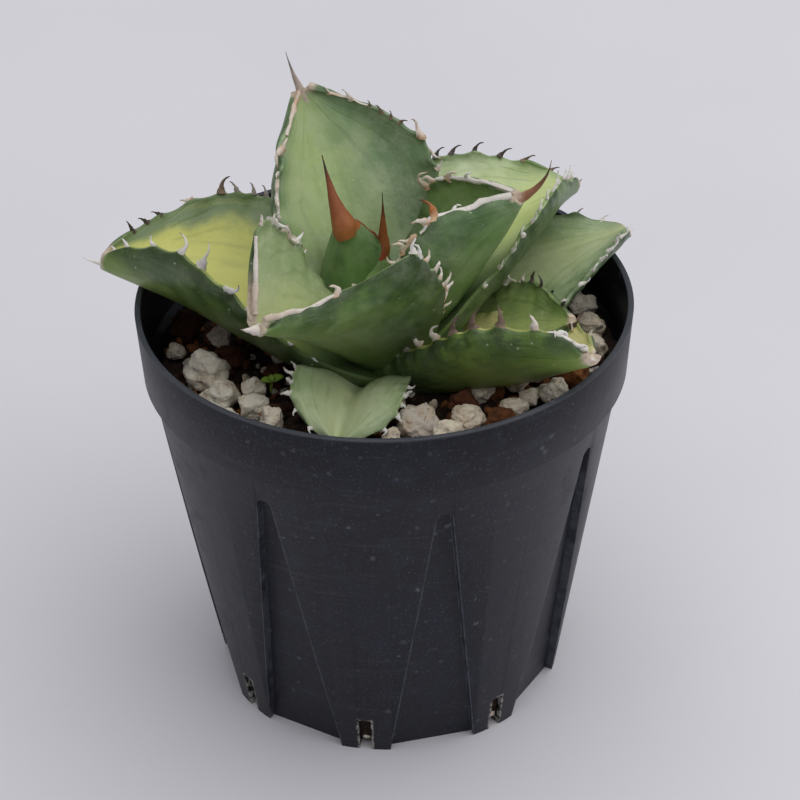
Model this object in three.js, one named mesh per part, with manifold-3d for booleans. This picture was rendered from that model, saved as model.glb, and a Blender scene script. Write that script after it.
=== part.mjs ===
// A potted agave: a soft black round nursery pot with eight recessed panels, a gritty mix of pumice and
// akadama, and a rosette of toothed leaves on a short stem.
// Millimetres, +Z up. The origin is the centre of the pot's underside; the side to look from is -Y.

import * as THREE from "three";
import { mergeVertices } from "three/addons/utils/BufferGeometryUtils.js";
import Module from "manifold-3d";

const wasm = await Module();
wasm.setup();

// ---------------------------------------------------------------- driving dimensions

const GAP = 0.35; // clearance between pieces that touch
const DEG = Math.PI / 180;

const POT = {
  height: 92,
  rimRadius: 52.5, // outside, at the lip
  rimBandHeight: 14.7,
  rimBandTaper: 1.1, // how much narrower the band is at its lower edge
  rimStep: 1.4, // how far the band stands out over the body
  footRadius: 37.5, // outside, at the ground
  wall: 1.2,
  floor: 1.6,
  panels: 8,
  panelTurn: 13.6, // bearing of the first panel from the front, degrees
  panelHeight: 70.6,
  panelTipWidth: 3,
  footWidth: 10.6, // of the standing foot between two panels, at the ground
  panelDepth: 1.7, // from the body's surface back to the panel, at its edges
  slitWidth: 2.7,
  slitHeight: 9,
  slitReach: 12, // how far the slit runs in under the floor
};

const MIX = {
  belowRim: 15, // from the lip down to the middle of the mix's surface
  bump: 1, // rise and fall of the surface
  fallToBack: 0.04, // slope of the surface, down to the left and the back
};

const STEM = {
  radius: 5,
  aboveMix: 10,
  belowMix: 24,
  roots: 4,
  rootRadius: 1.3,
  rootReach: 25,
  rootDrop: 22,
};

const MARGIN = 0.8; // thickness of a leaf's edge
const LEAF_TAPER = 0.75; // share of a leaf's thickness that is gone at its tip
const NARROWING = 0.94; // share of a leaf's half width that is gone at its tip
const TOOTH = {
  length: 2.8,
  radius: 0.9,
  flatness: 0.6,
  buried: 0.7, // how far a tooth's foot sits inside the leaf's edge
  firstAt: 0.3, // where the row of teeth starts, as a share of the leaf's length
  rowShare: 0.66, // how much of the leaf's length the row takes
};
const SPINE_WAIST = { at: 0.45, radius: 0.55 }; // where along the end spine it thins, and to what

// Each leaf: heading is where it points, seen from above, in degrees from +X towards +Y. Pairs run from
// base to tip. rise is the slope of its midrib, fold the V of its two halves, cup their curl and roll its
// turn about the midrib. lift is the height of its base over the mix, reach its distance from the axis.
const LEAVES = [
  {
    name: "leaf_bud",
    heading: 176, sweep: 4, rise: [74, 80], length: 20, halfWidth: 12, baseShare: 0.85, widestAt: 0.35,
    fullness: 1.9, fold: [20, 24], cup: [74, 84], roll: [0, 0], reach: 5, lift: 15, thickness: 3.2,
    spine: [14, 2, 4], teeth: 0,
  },
  {
    name: "leaf_inner",
    heading: 20, sweep: 0, rise: [82, 88], length: 15, halfWidth: 9, baseShare: 0.85, widestAt: 0.3,
    fullness: 1.6, fold: [18, 20], cup: [66, 76], roll: [0, 0], reach: -2, lift: 14, thickness: 2.6,
    spine: [11, 0, 0], teeth: 2,
  },
  {
    name: "leaf_right_up",
    heading: -8, sweep: 0, rise: [48, 58], length: 36, halfWidth: 18.6, baseShare: 0.68, widestAt: 0.51,
    fullness: 1.8, fold: [11, 24], cup: [52, 59], roll: [-3, -5], reach: 6, lift: 13, thickness: 6,
    spine: [9.5, 4, 14], teeth: 4,
  },
  {
    name: "leaf_back",
    heading: 119, sweep: 10, rise: [51, 61], length: 46, halfWidth: 22, baseShare: 0.7, widestAt: 0.49,
    fullness: 1.9, fold: [6, 13], cup: [40, 46], roll: [-2, -6], reach: 5, lift: 13, thickness: 6,
    spine: [11, 10, 6], teeth: 5,
  },
  {
    name: "leaf_front_left",
    heading: 242, sweep: -11, rise: [40, 27], length: 51, halfWidth: 28.5, baseShare: 0.46, widestAt: 0.67,
    fullness: 0.24, fold: [13, 30], cup: [35, 47], roll: [-4, 5], reach: 5, lift: 7, thickness: 6,
    spine: [4, 0, 0], teeth: 5,
  },
  {
    name: "leaf_back_right",
    heading: 40, sweep: -5, rise: [27, 6], length: 50, halfWidth: 22.5, baseShare: 0.7, widestAt: 0.5,
    fullness: 1.85, fold: [4, 19], cup: [37, 50], roll: [6, -12], reach: 5, lift: 9, thickness: 6,
    spine: [2.5, 0, 0], teeth: 5,
  },
  {
    name: "leaf_left",
    heading: 171, sweep: 5, rise: [12, 20], length: 57, halfWidth: 25.5, baseShare: 0.7, widestAt: 0.51,
    fullness: 2.1, fold: [-2, 17], cup: [44, 51], roll: [-15, 24], reach: 5, lift: 6, thickness: 6,
    spine: [4.5, -5, 0], teeth: 6,
  },
  {
    name: "leaf_right",
    heading: 19, sweep: 7, rise: [19, 7], length: 53, halfWidth: 20, baseShare: 0.7, widestAt: 0.5,
    fullness: 1.85, fold: [-9, 7], cup: [22, 35], roll: [12, -21], reach: 5, lift: 7, thickness: 6,
    spine: [1.5, 0, 0], teeth: 5,
  },
  {
    name: "leaf_low_right",
    heading: -28, sweep: 0, rise: [13, 35], length: 42, halfWidth: 15.3, baseShare: 0.7, widestAt: 0.53,
    fullness: 1.9, fold: [-3, 15], cup: [31, 47], roll: [-8, 7], reach: 5, lift: 4.5, thickness: 5,
    spine: [1.5, 0, 0], teeth: 4,
  },
  {
    name: "leaf_right_front",
    heading: -38, sweep: -6, rise: [20, 28], length: 55, halfWidth: 14.5, baseShare: 0.69, widestAt: 0.51,
    fullness: 2, fold: [4, 16], cup: [36, 47], roll: [-3, -30], reach: 4, lift: 1, thickness: 7,
    spine: [1.5, 0, 0], teeth: 6,
  },
  {
    name: "leaf_front",
    heading: 251, sweep: 10, rise: [62, -34], length: 33, halfWidth: 12, baseShare: 0.7, widestAt: 0.48,
    fullness: 2.2, fold: [6, 2], cup: [19, 15], roll: [7, -16], reach: 10, lift: -3.5, thickness: 4,
    spine: [1.5, 0, 0], teeth: 5,
  },
  {
    name: "leaf_back_low",
    heading: 92, sweep: 4, rise: [16, 12], length: 44, halfWidth: 17, baseShare: 0.7, widestAt: 0.5,
    fullness: 1.9, fold: [4, 14], cup: [36, 46], roll: [0, 6], reach: 5, lift: 5.2, thickness: 5,
    spine: [4, 4, 0], teeth: 5,
  },
];

// Loose stones on the mix: kind, bearing from +X in degrees, distance of the stone's outer side from the
// pot's wall, and size across.
const STONES = [
  ["pumice", 191, 6.5, 9.2], ["pumice", 206, 7.6, 7.8], ["pumice", 208, 14, 5.4],
  ["pumice", 219, 11, 5.6], ["pumice", 217, 5.5, 4.8], ["pumice", 230, 9.6, 5.4],
  ["pumice", 154, 1.2, 4.2], ["pumice", 170, 10.6, 5.2], ["pumice", 177, 2.4, 4],
  ["akadama", 164, 0.6, 8], ["akadama", 147, 0.6, 5.4], ["akadama", 181, 14.2, 5.4],
  ["akadama", 196, 22, 4.8], ["akadama", 226, 13.6, 3.6], ["pumice", 283, 12.4, 8.2],
  ["pumice", 290, 9.6, 5.8], ["pumice", 299, 11, 6.2], ["pumice", 272, 12.4, 4.4],
  ["akadama", 305, 17.6, 5.6], ["akadama", 307, 7.2, 6], ["pumice", 313, 18.6, 5],
  ["pumice", 314, 8.6, 5], ["pumice", 322, 8.6, 4.4], ["pumice", 331, 14.4, 6],
  ["pumice", 340, 12.2, 4.8], ["pumice", 327, 4.6, 6.2], ["akadama", 339, 3.4, 7.4],
  ["pumice", 355, 1.6, 5], ["pumice", 24, 2.6, 4.8], ["pumice", 17, 1, 5.4], ["pumice", 6, 2, 5.2],
  ["akadama", 31, 0.6, 4.2], ["pumice", 52, 4, 6.4], ["akadama", 68, 7, 5.8], ["pumice", 84, 2.6, 7],
  ["pumice", 104, 3, 5.6], ["akadama", 122, 5, 6.2], ["pumice", 136, 2, 5],
];

const STONE_SEAT = 0.6; // from a stone's lowest corners to the surface under them

const SEEDLING = {
  bearing: 207,
  fromWall: 21.5,
  height: 4.2,
  leafLength: 2.6,
  leafWidth: 1.6,
  stalk: 0.35, // radius
};

// ---------------------------------------------------------------- solids

// A closed three.js geometry as a solid that can be joined and cut.
function solid(geometry) {
  const bare = geometry.clone();
  bare.deleteAttribute("normal");
  bare.deleteAttribute("uv");
  const merged = mergeVertices(bare, 1e-4);
  const mesh = new wasm.Mesh({
    numProp: 3,
    vertProperties: new Float32Array(merged.getAttribute("position").array),
    triVerts: new Uint32Array(merged.index.array),
  });
  return new wasm.Manifold(mesh);
}

// A solid as a three.js geometry.
function geometryOf(body) {
  const mesh = body.getMesh();
  const geometry = new THREE.BufferGeometry();
  geometry.setAttribute("position", new THREE.BufferAttribute(new Float32Array(mesh.vertProperties), 3));
  geometry.setIndex(new THREE.BufferAttribute(new Uint32Array(mesh.triVerts), 1));
  geometry.computeVertexNormals();
  return geometry;
}

// The solid with its whole surface moved out, for cutting room round a piece.
function swollen(body, by) {
  const geometry = geometryOf(body);
  const place = geometry.getAttribute("position");
  const normal = geometry.getAttribute("normal");
  for (let i = 0; i < place.count; i += 1) {
    place.setXYZ(
      i,
      place.getX(i) + by * normal.getX(i),
      place.getY(i) + by * normal.getY(i),
      place.getZ(i) + by * normal.getZ(i),
    );
  }
  return solid(geometry);
}

// A cut can leave crumbs; a piece is the largest body of what is left.
function largest(body) {
  return body.decompose().reduce((best, next) => (next.volume() > best.volume() ? next : best));
}

// A closed body through rings with the same number of points, closed by a fan at each end.
function loft(rings, startPoint, endPoint) {
  const count = rings[0].length;
  const points = [startPoint, ...rings.flat(), endPoint];
  const last = points.length - 1;
  const index = [];
  for (let k = 0; k < count; k += 1) {
    const next = (k + 1) % count;
    index.push(0, 1 + next, 1 + k);
    for (let ring = 0; ring < rings.length - 1; ring += 1) {
      const low = 1 + ring * count;
      const high = low + count;
      index.push(low + k, low + next, high + k);
      index.push(low + next, high + next, high + k);
    }
    index.push(last - count + k, last - count + next, last);
  }
  const geometry = new THREE.BufferGeometry().setFromPoints(points);
  geometry.setIndex(index);
  return geometry;
}

// A repeatable number from 0 to 1 that looks random.
function chance(seed) {
  const wave = Math.sin(seed * 127.1 + 11.7) * 43758.5453;
  return wave - Math.floor(wave);
}

const between = (pair, t) => pair[0] + (pair[1] - pair[0]) * t;

// ---------------------------------------------------------------- pot

const bandFoot = POT.height - POT.rimBandHeight;
const bandRadius = POT.rimRadius - POT.rimBandTaper;
const bodyTopRadius = bandRadius - POT.rimStep;
const bodySlope = (bodyTopRadius - POT.footRadius) / bandFoot;
const bodyRadiusAt = (z) => POT.footRadius + bodySlope * z;
const ROUND = 48; // sides of the pot's circles

function turned(profile, sides) {
  const points = profile.map(([radius, z]) => new THREE.Vector2(radius, z));
  const geometry = new THREE.LatheGeometry(points, sides);
  geometry.rotateX(Math.PI / 2);
  return solid(geometry);
}

// The wedge that a panel takes out of a cone, made larger all round by grow and sunk as far behind.
function panelWedge(turn, grow) {
  const panelHalfAngle = Math.PI / POT.panels - Math.asin(POT.footWidth / 2 / POT.footRadius);
  const halfBase = POT.footRadius * Math.sin(panelHalfAngle) + grow;
  const halfTip = POT.panelTipWidth / 2 + grow;
  const footDistance = POT.footRadius * Math.cos(panelHalfAngle) - POT.panelDepth;
  const tipDistance = bodyRadiusAt(POT.panelHeight) - POT.panelDepth;
  const lean = Math.atan2(tipDistance - footDistance, POT.panelHeight);
  const height = POT.panelHeight / Math.cos(lean) - POT.panelTipWidth / 2;
  const below = 8; // how far the wedge runs on past the pot's foot
  const outward = 20; // and past its surface
  const widening = ((halfBase - halfTip) / height) * below;
  const outline = new THREE.Shape();
  outline.moveTo(-halfBase - widening, -below);
  outline.lineTo(halfBase + widening, -below);
  outline.lineTo(halfTip, height);
  outline.absarc(0, height, halfTip, 0, Math.PI, false);
  const wedge = new THREE.ExtrudeGeometry(outline, {
    depth: outward,
    bevelEnabled: false,
    curveSegments: 3,
  });
  wedge.translate(0, 0, -grow);
  wedge.rotateX(Math.PI / 2 + lean);
  wedge.translate(0, -footDistance, 0);
  wedge.rotateZ(turn);
  return solid(wedge);
}

function withPanels(body, grow) {
  let result = body;
  for (let k = 0; k < POT.panels; k += 1) {
    const turn = POT.panelTurn * DEG + (k * 2 * Math.PI) / POT.panels;
    result = result.subtract(panelWedge(turn, grow));
  }
  return result;
}

// What fills the pot's hollow, held back from its wall and floor by clearance.
function hollow(clearance, top) {
  const inset = POT.wall + clearance;
  const low = POT.floor + clearance;
  const body = turned(
    [
      [0, low],
      [bodyRadiusAt(low) - inset, low],
      [bodyTopRadius - inset, bandFoot],
      [bandRadius - inset, bandFoot + POT.rimStep],
      [POT.rimRadius - inset, POT.height],
      [POT.rimRadius - inset, top],
      [0, top],
    ],
    ROUND,
  );
  return withPanels(body, inset);
}

function drainSlit(turn) {
  const slit = new THREE.BoxGeometry(POT.slitWidth, POT.slitReach * 2, POT.slitHeight * 2);
  slit.translate(0, -POT.footRadius, 0);
  slit.rotateZ(turn);
  return solid(slit);
}

function makePot() {
  const outside = turned(
    [
      [0, 0],
      [POT.footRadius, 0],
      [bodyTopRadius, bandFoot],
      [bandRadius, bandFoot],
      [POT.rimRadius, POT.height],
      [0, POT.height],
    ],
    ROUND,
  );
  let body = withPanels(outside, 0).subtract(hollow(0, POT.height + 1));
  for (let k = 0; k < POT.panels; k += 1) {
    const turn = POT.panelTurn * DEG + ((k + 0.5) * 2 * Math.PI) / POT.panels;
    body = body.subtract(drainSlit(turn));
  }
  return body;
}

// ---------------------------------------------------------------- potting mix, stem and roots

const mixLevel = POT.height - MIX.belowRim;
const mixRadius = bodyTopRadius - POT.wall;

function mixHeightAt(x, y) {
  const waves = Math.sin(x * 0.15 + 1) * Math.cos(y * 0.13) + 0.5 * Math.sin(x * 0.09 - y * 0.12);
  return mixLevel + MIX.bump * waves - MIX.fallToBack * (y - x);
}

// A block under the mix's bumpy surface, out past the pot's wall.
function mixBlock() {
  const rings = 7;
  const sides = 32;
  const reach = POT.rimRadius + 2;
  const circles = [];
  for (let ring = 0; ring <= rings; ring += 1) {
    const radius = reach * (1 - ring / (rings + 1));
    const circle = [];
    for (let k = 0; k < sides; k += 1) {
      const angle = (k * 2 * Math.PI) / sides;
      const x = radius * Math.cos(angle);
      const y = radius * Math.sin(angle);
      circle.push(new THREE.Vector3(x, y, mixHeightAt(x, y)));
    }
    circles.push(circle);
  }
  const bottom = circles[0].map((p) => new THREE.Vector3(p.x, p.y, -1));
  const foot = new THREE.Vector3(0, 0, -1);
  const crown = new THREE.Vector3(0, 0, mixHeightAt(0, 0));
  return solid(loft([bottom, ...circles], foot, crown));
}

function makeStemAndRoots() {
  const top = mixLevel + STEM.aboveMix;
  const bottom = mixLevel - STEM.belowMix;
  let body = turned(
    [
      [0, bottom - 3],
      [STEM.radius * 0.5, bottom - 2],
      [STEM.radius * 0.9, bottom + 5],
      [STEM.radius, mixLevel],
      [STEM.radius * 0.9, top - 2],
      [STEM.radius * 0.4, top],
      [0, top + 0.4],
    ],
    14,
  );
  const section = new THREE.Shape();
  section.absarc(0, 0, STEM.rootRadius, 0, 2 * Math.PI, false);
  for (let k = 0; k < STEM.roots; k += 1) {
    const angle = (k * 2 * Math.PI) / STEM.roots + 0.3 * chance(k);
    const out = new THREE.Vector3(Math.cos(angle), Math.sin(angle), 0);
    const start = mixLevel - STEM.belowMix * (0.35 + 0.5 * chance(k + 20));
    const path = new THREE.CatmullRomCurve3([
      out.clone().multiplyScalar(STEM.radius * 0.3).setZ(start),
      out.clone().multiplyScalar(STEM.rootReach * 0.5).setZ(start - STEM.rootDrop * 0.25),
      out.clone().multiplyScalar(STEM.rootReach * 0.85).setZ(start - STEM.rootDrop * 0.6),
      out.clone().multiplyScalar(STEM.rootReach).setZ(start - STEM.rootDrop),
    ]);
    const root = new THREE.ExtrudeGeometry(section, { steps: 4, extrudePath: path, curveSegments: 2 });
    body = body.add(solid(root));
  }
  return body;
}

// ---------------------------------------------------------------- leaves

// The place and the three directions of a leaf's midrib at equal steps from base to tip.
function midrib(leaf, steps) {
  const frames = [];
  const heading = leaf.heading * DEG;
  const place = new THREE.Vector3(
    leaf.reach * Math.cos(heading),
    leaf.reach * Math.sin(heading),
    mixLevel + leaf.lift,
  );
  const aim = (t) => {
    const rise = between(leaf.rise, t) * DEG;
    const turn = heading + leaf.sweep * DEG * t ** 1.5;
    return new THREE.Vector3(
      Math.cos(rise) * Math.cos(turn),
      Math.cos(rise) * Math.sin(turn),
      Math.sin(rise),
    );
  };
  for (let i = 0; i <= steps; i += 1) {
    const t = i / steps;
    const along = aim(t);
    const across = new THREE.Vector3(-along.y, along.x, 0).normalize();
    const up = new THREE.Vector3().crossVectors(along, across);
    const roll = between(leaf.roll, t) * DEG;
    frames.push({
      t,
      place: place.clone(),
      along,
      across: across.clone().multiplyScalar(Math.cos(roll)).addScaledVector(up, Math.sin(roll)),
      up: up.clone().multiplyScalar(Math.cos(roll)).addScaledVector(across, -Math.sin(roll)),
    });
    place.addScaledVector(aim(t + 0.5 / steps), leaf.length / steps);
  }
  return frames;
}

function halfWidthAt(leaf, t) {
  if (t < leaf.widestAt) {
    const opening = Math.sin(((Math.PI / 2) * t) / leaf.widestAt);
    return leaf.halfWidth * (leaf.baseShare + (1 - leaf.baseShare) * opening);
  }
  const narrowing = ((t - leaf.widestAt) / (1 - leaf.widestAt)) ** leaf.fullness;
  return leaf.halfWidth * (1 - NARROWING * narrowing);
}

// A point of the leaf's upper face, v from -1 at one margin to 1 at the other, sunk by depth.
function leafPoint(leaf, frame, v, depth) {
  const fold = between(leaf.fold, frame.t) * DEG;
  const cup = between(leaf.cup, frame.t) * DEG;
  const side = Math.sign(v);
  const slope = fold + cup * Math.abs(v);
  const width = halfWidthAt(leaf, frame.t);
  const out = (side * width * (Math.sin(slope) - Math.sin(fold))) / cup + side * depth * Math.sin(slope);
  const rise = (width * (Math.cos(fold) - Math.cos(slope))) / cup - depth * Math.cos(slope);
  return frame.place.clone().addScaledVector(frame.across, out).addScaledVector(frame.up, rise);
}

function thicknessAt(leaf, t, v) {
  return MARGIN + leaf.thickness * (1 - LEAF_TAPER * t) * (1 - v * v) ** 0.6;
}

function leafRing(leaf, frame) {
  const across = [1, 0.55, 0, -0.55, -1];
  const upper = across.map((v) => leafPoint(leaf, frame, v, 0));
  const lower = across.map((v) => leafPoint(leaf, frame, v, thicknessAt(leaf, frame.t, v)));
  return [...upper, ...lower.reverse()];
}

// The end spine goes on from the tip: its length, its lift and its turn to the left, in degrees.
function spineRings(leaf, tip, count) {
  const [length, lift, turn] = leaf.spine;
  const aim = tip.along.clone();
  aim.addScaledVector(tip.up, Math.tan(lift * DEG)).addScaledVector(tip.across, Math.tan(turn * DEG));
  aim.normalize();
  const centre = leafPoint(leaf, tip, 0, thicknessAt(leaf, 1, 0) / 2);
  const ring = [];
  for (let k = 0; k < count; k += 1) {
    const angle = (2 * Math.PI * (k + 0.5)) / count;
    const point = centre.clone().addScaledVector(aim, length * SPINE_WAIST.at);
    point.addScaledVector(tip.across, SPINE_WAIST.radius * Math.cos(angle));
    ring.push(point.addScaledVector(tip.up, SPINE_WAIST.radius * Math.sin(angle)));
  }
  return { ring, end: centre.addScaledVector(aim, length) };
}

function tooth(foot, aim, thin, length) {
  const cone = new THREE.ConeGeometry(TOOTH.radius, length, 3);
  cone.scale(1, 1, TOOTH.flatness);
  cone.translate(0, length / 2 - TOOTH.buried, 0);
  const side = new THREE.Vector3().crossVectors(aim, thin).normalize();
  const basis = new THREE.Matrix4().makeBasis(side, aim, new THREE.Vector3().crossVectors(side, aim));
  cone.applyMatrix4(basis.setPosition(foot));
  return solid(cone);
}

function makeLeaf(leaf) {
  const steps = 8;
  const frames = midrib(leaf, steps);
  const rings = frames.map((frame) => leafRing(leaf, frame));
  const spine = spineRings(leaf, frames[steps], rings[0].length);
  const foot = leafPoint(leaf, frames[0], 0, thicknessAt(leaf, 0, 0) / 2);
  let body = solid(loft([...rings, spine.ring], foot, spine.end));
  const fine = midrib(leaf, 60);
  for (let k = 0; k < leaf.teeth; k += 1) {
    for (const side of [-1, 1]) {
      const t = TOOTH.firstAt + (TOOTH.rowShare * (k + 0.3 * chance(k + side))) / leaf.teeth;
      const frame = fine[Math.round(t * (fine.length - 1))];
      const margin = leafPoint(leaf, frame, side, MARGIN / 2);
      const inside = leafPoint(leaf, frame, side * 0.8, MARGIN / 2);
      const aim = margin.clone().sub(inside).normalize();
      aim.addScaledVector(frame.along, 0.9 * chance(k * 3 + side) - 0.3).normalize();
      const length = TOOTH.length * (0.8 + 0.5 * chance(k + 40 * side));
      body = body.add(tooth(margin, aim, frame.along, length));
    }
  }
  return body;
}

// ---------------------------------------------------------------- stones and seedling

// A lump whose corners are moved in and out, a little flatter than it is wide.
function makeStone(size, x, y, seed) {
  const plain =
    size > 5
      ? new THREE.IcosahedronGeometry(size / 2, 1)
      : new THREE.DodecahedronGeometry(size / 2);
  plain.deleteAttribute("normal");
  plain.deleteAttribute("uv");
  const lump = mergeVertices(plain, 1e-4);
  const corner = lump.getAttribute("position");
  for (let i = 0; i < corner.count; i += 1) {
    const pull = 1 - 0.2 * chance(seed * 7 + i);
    corner.setXYZ(i, corner.getX(i) * pull, corner.getY(i) * pull, corner.getZ(i) * pull * 0.85);
  }
  lump.rotateZ(seed);
  lump.translate(x, y, 0);
  let lift = -Infinity;
  for (let i = 0; i < corner.count; i += 1) {
    lift = Math.max(lift, mixHeightAt(corner.getX(i), corner.getY(i)) - corner.getZ(i));
  }
  lump.translate(0, 0, lift + STONE_SEAT);
  return solid(lump);
}

// Stones lie clear of each other: a crowded pair moves apart, and none moves into the wall.
function settledStones() {
  const stones = STONES.map(([kind, bearing, fromWall, size]) => {
    const distance = mixRadius - fromWall - size / 2;
    const x = distance * Math.cos(bearing * DEG);
    const y = distance * Math.sin(bearing * DEG);
    return { kind, size, at: new THREE.Vector2(x, y) };
  });
  for (let round = 0; round < 200; round += 1) {
    stones.forEach((a, i) => {
      for (const b of stones.slice(i + 1)) {
        const apart = b.at.clone().sub(a.at);
        const crowding = (a.size + b.size) / 2 + GAP - apart.length();
        if (crowding > 0) {
          apart.setLength(crowding / 2);
          a.at.sub(apart);
          b.at.add(apart);
        }
      }
      a.at.clampLength(0, mixRadius - GAP - a.size / 2);
    });
  }
  return stones;
}

function makeSeedling() {
  const distance = mixRadius - SEEDLING.fromWall;
  const x = distance * Math.cos(SEEDLING.bearing * DEG);
  const y = distance * Math.sin(SEEDLING.bearing * DEG);
  const foot = mixHeightAt(x, y) + GAP;
  const stalk = new THREE.CylinderGeometry(SEEDLING.stalk, SEEDLING.stalk, SEEDLING.height, 6);
  stalk.rotateX(Math.PI / 2);
  stalk.translate(x, y, foot + SEEDLING.height / 2);
  let body = solid(stalk);
  for (const side of [-1, 1]) {
    const blade = new THREE.SphereGeometry(SEEDLING.leafLength / 2, 8, 6);
    blade.scale(1, SEEDLING.leafWidth / SEEDLING.leafLength, 0.3);
    blade.translate((side * SEEDLING.leafLength) / 2.2, 0, 0);
    blade.rotateY(-side * 20 * DEG);
    blade.rotateZ(25 * DEG);
    blade.translate(x, y, foot + SEEDLING.height - SEEDLING.stalk);
    body = body.add(solid(blade));
  }
  return body;
}

// ---------------------------------------------------------------- the group

const root = new THREE.Group();

function place(name, body, colour, roughness) {
  const material = new THREE.MeshStandardMaterial({ color: colour, roughness, metalness: 0 });
  const mesh = new THREE.Mesh(geometryOf(body), material);
  mesh.name = name;
  root.add(mesh);
}

const stemBody = makeStemAndRoots();
let taken = swollen(stemBody, 1.5 * GAP);
place("stem_and_roots", stemBody, 0x8a6b45, 0.9);

for (const leaf of LEAVES) {
  const whole = makeLeaf(leaf);
  place(leaf.name, largest(whole.subtract(taken)), 0x5f7f4a, 0.55);
  taken = taken.add(whole).add(swollen(whole, 1.2 * GAP)); // a corner's own gap is a little smaller
}

place("pot", makePot(), 0x2a2c32, 0.5);
const mixBody = mixBlock().intersect(hollow(GAP, POT.height)).subtract(taken);
place("potting_mix", largest(mixBody), 0x4a3526, 0.95);
place("seedling", makeSeedling(), 0x86b040, 0.6);

const STONE_COLOURS = { pumice: 0xd8cdb8, akadama: 0x7a4a30 };
settledStones().forEach((stone, i) => {
  const body = makeStone(stone.size, stone.at.x, stone.at.y, i + 1);
  const name = `${stone.kind}_${String(i + 1).padStart(2, "0")}`;
  place(name, largest(body.subtract(taken)), STONE_COLOURS[stone.kind], 0.95);
});

export default root;
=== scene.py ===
"""A potted agave, shown on a pale floor in soft studio light.

Lengths in the tables below are millimetres and angles are degrees; meshes are in metres, in the frame of
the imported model, whose origin is the centre of the pot's underside and whose -Y side is the front.
"""

import math
import random

import bmesh
import bpy
from mathutils import Euler, Matrix, Vector, noise


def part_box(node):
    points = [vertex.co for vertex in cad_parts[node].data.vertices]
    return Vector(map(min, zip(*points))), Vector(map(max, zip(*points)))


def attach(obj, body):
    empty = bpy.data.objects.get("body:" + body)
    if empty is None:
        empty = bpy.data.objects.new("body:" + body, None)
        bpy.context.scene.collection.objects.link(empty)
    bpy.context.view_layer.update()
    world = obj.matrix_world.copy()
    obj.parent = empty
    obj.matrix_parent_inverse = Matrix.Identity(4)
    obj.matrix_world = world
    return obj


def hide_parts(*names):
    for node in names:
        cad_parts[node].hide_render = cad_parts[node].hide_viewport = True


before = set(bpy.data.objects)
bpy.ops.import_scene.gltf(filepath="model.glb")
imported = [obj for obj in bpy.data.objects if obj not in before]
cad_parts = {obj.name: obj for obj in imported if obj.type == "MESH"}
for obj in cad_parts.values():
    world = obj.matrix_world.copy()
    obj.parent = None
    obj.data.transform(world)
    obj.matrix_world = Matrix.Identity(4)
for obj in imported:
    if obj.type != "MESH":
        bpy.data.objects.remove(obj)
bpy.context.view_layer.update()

MM = 0.001
BODY = "root"


# ------------------------------------------------------------------ small tools

def clear():
    bpy.ops.object.select_all(action="DESELECT")


def named(name):
    """The object that an operator has just added, under its own name."""
    piece = bpy.context.active_object
    piece.name = name
    piece.data.name = name
    return piece


def choose(piece):
    clear()
    piece.select_set(True)
    bpy.context.view_layer.objects.active = piece


def settle(piece):
    """Puts the object at the origin, unturned and unscaled, with its place in its mesh."""
    choose(piece)
    bpy.ops.object.transform_apply(location=True, rotation=True, scale=True)
    return piece


def finish_with(piece, kind, **settings):
    """Adds a modifier with its settings and applies it."""
    choose(piece)
    modifier = piece.modifiers.new(kind.lower(), kind)
    for key, value in settings.items():
        setattr(modifier, key, value)
    bpy.ops.object.modifier_apply(modifier=modifier.name)


def cut(piece, cutter):
    """Cuts cutter out of piece, and throws the cutter away."""
    finish_with(piece, "BOOLEAN", object=cutter, operation="DIFFERENCE", solver="EXACT")
    bpy.data.objects.remove(cutter)


def copied(piece, name):
    """A copy with a mesh of its own."""
    twin = piece.copy()
    twin.data = piece.data.copy()
    twin.name = name
    twin.data.name = name
    bpy.context.collection.objects.link(twin)
    return twin


def joined(pieces, name):
    clear()
    for piece in pieces:
        piece.select_set(True)
    bpy.context.view_layer.objects.active = pieces[0]
    bpy.ops.object.join()
    return named(name)


def smooth(piece, angle):
    """Shades the piece smooth, but for edges sharper than angle degrees."""
    choose(piece)
    bpy.ops.object.shade_smooth_by_angle(angle=math.radians(angle))


def coat(piece, material):
    """The piece is of this material all over."""
    piece.data.materials.clear()
    piece.data.materials.append(material)


def hand_over(piece, slot, *nodes):
    """The piece moves with the model's only body, and stands for the given nodes."""
    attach(piece, BODY)
    if nodes:
        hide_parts(*nodes)


def blend(pair, t):
    return pair[0] + (pair[1] - pair[0]) * t


def step_between(low, high, value):
    """0 below low, 1 above high, and an even curve between them."""
    share = min(max((value - low) / (high - low), 0), 1)
    return share * share * (3 - 2 * share)


# ------------------------------------------------------------------ materials

# The kinds of node that the materials are made of, and the settings that go with them.
PLACE, NOISE, CELLS = "ShaderNodeTexCoord", "ShaderNodeTexNoise", "ShaderNodeTexVoronoi"
MATHS, RANGE, MIX, BUMP = "ShaderNodeMath", "ShaderNodeMapRange", "ShaderNodeMix", "ShaderNodeBump"
SPLIT, STRETCH, MARK = "ShaderNodeSeparateXYZ", "ShaderNodeMapping", "ShaderNodeAttribute"
PLUS, MINUS, TIMES = {"operation": "ADD"}, {"operation": "SUBTRACT"}, {"operation": "MULTIPLY"}
TIMES_PLUS, SIZE_OF = {"operation": "MULTIPLY_ADD"}, {"operation": "ABSOLUTE"}
EASED = {"interpolation_type": "SMOOTHSTEP"}
COLOURS = {"data_type": "RGBA"}


def linear(code):
    """An sRGB hex colour as the linear colour, with its alpha, that shaders take."""
    channels = [int(code[i:i + 2], 16) / 255 for i in (1, 3, 5)]
    curve = [c / 12.92 if c <= 0.04045 else ((c + 0.055) / 1.055) ** 2.4 for c in channels]
    return (*curve, 1.0)


def per(size):
    """The scale of a pattern whose lumps or cells are size millimetres across."""
    return 1 / (size * MM)


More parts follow.
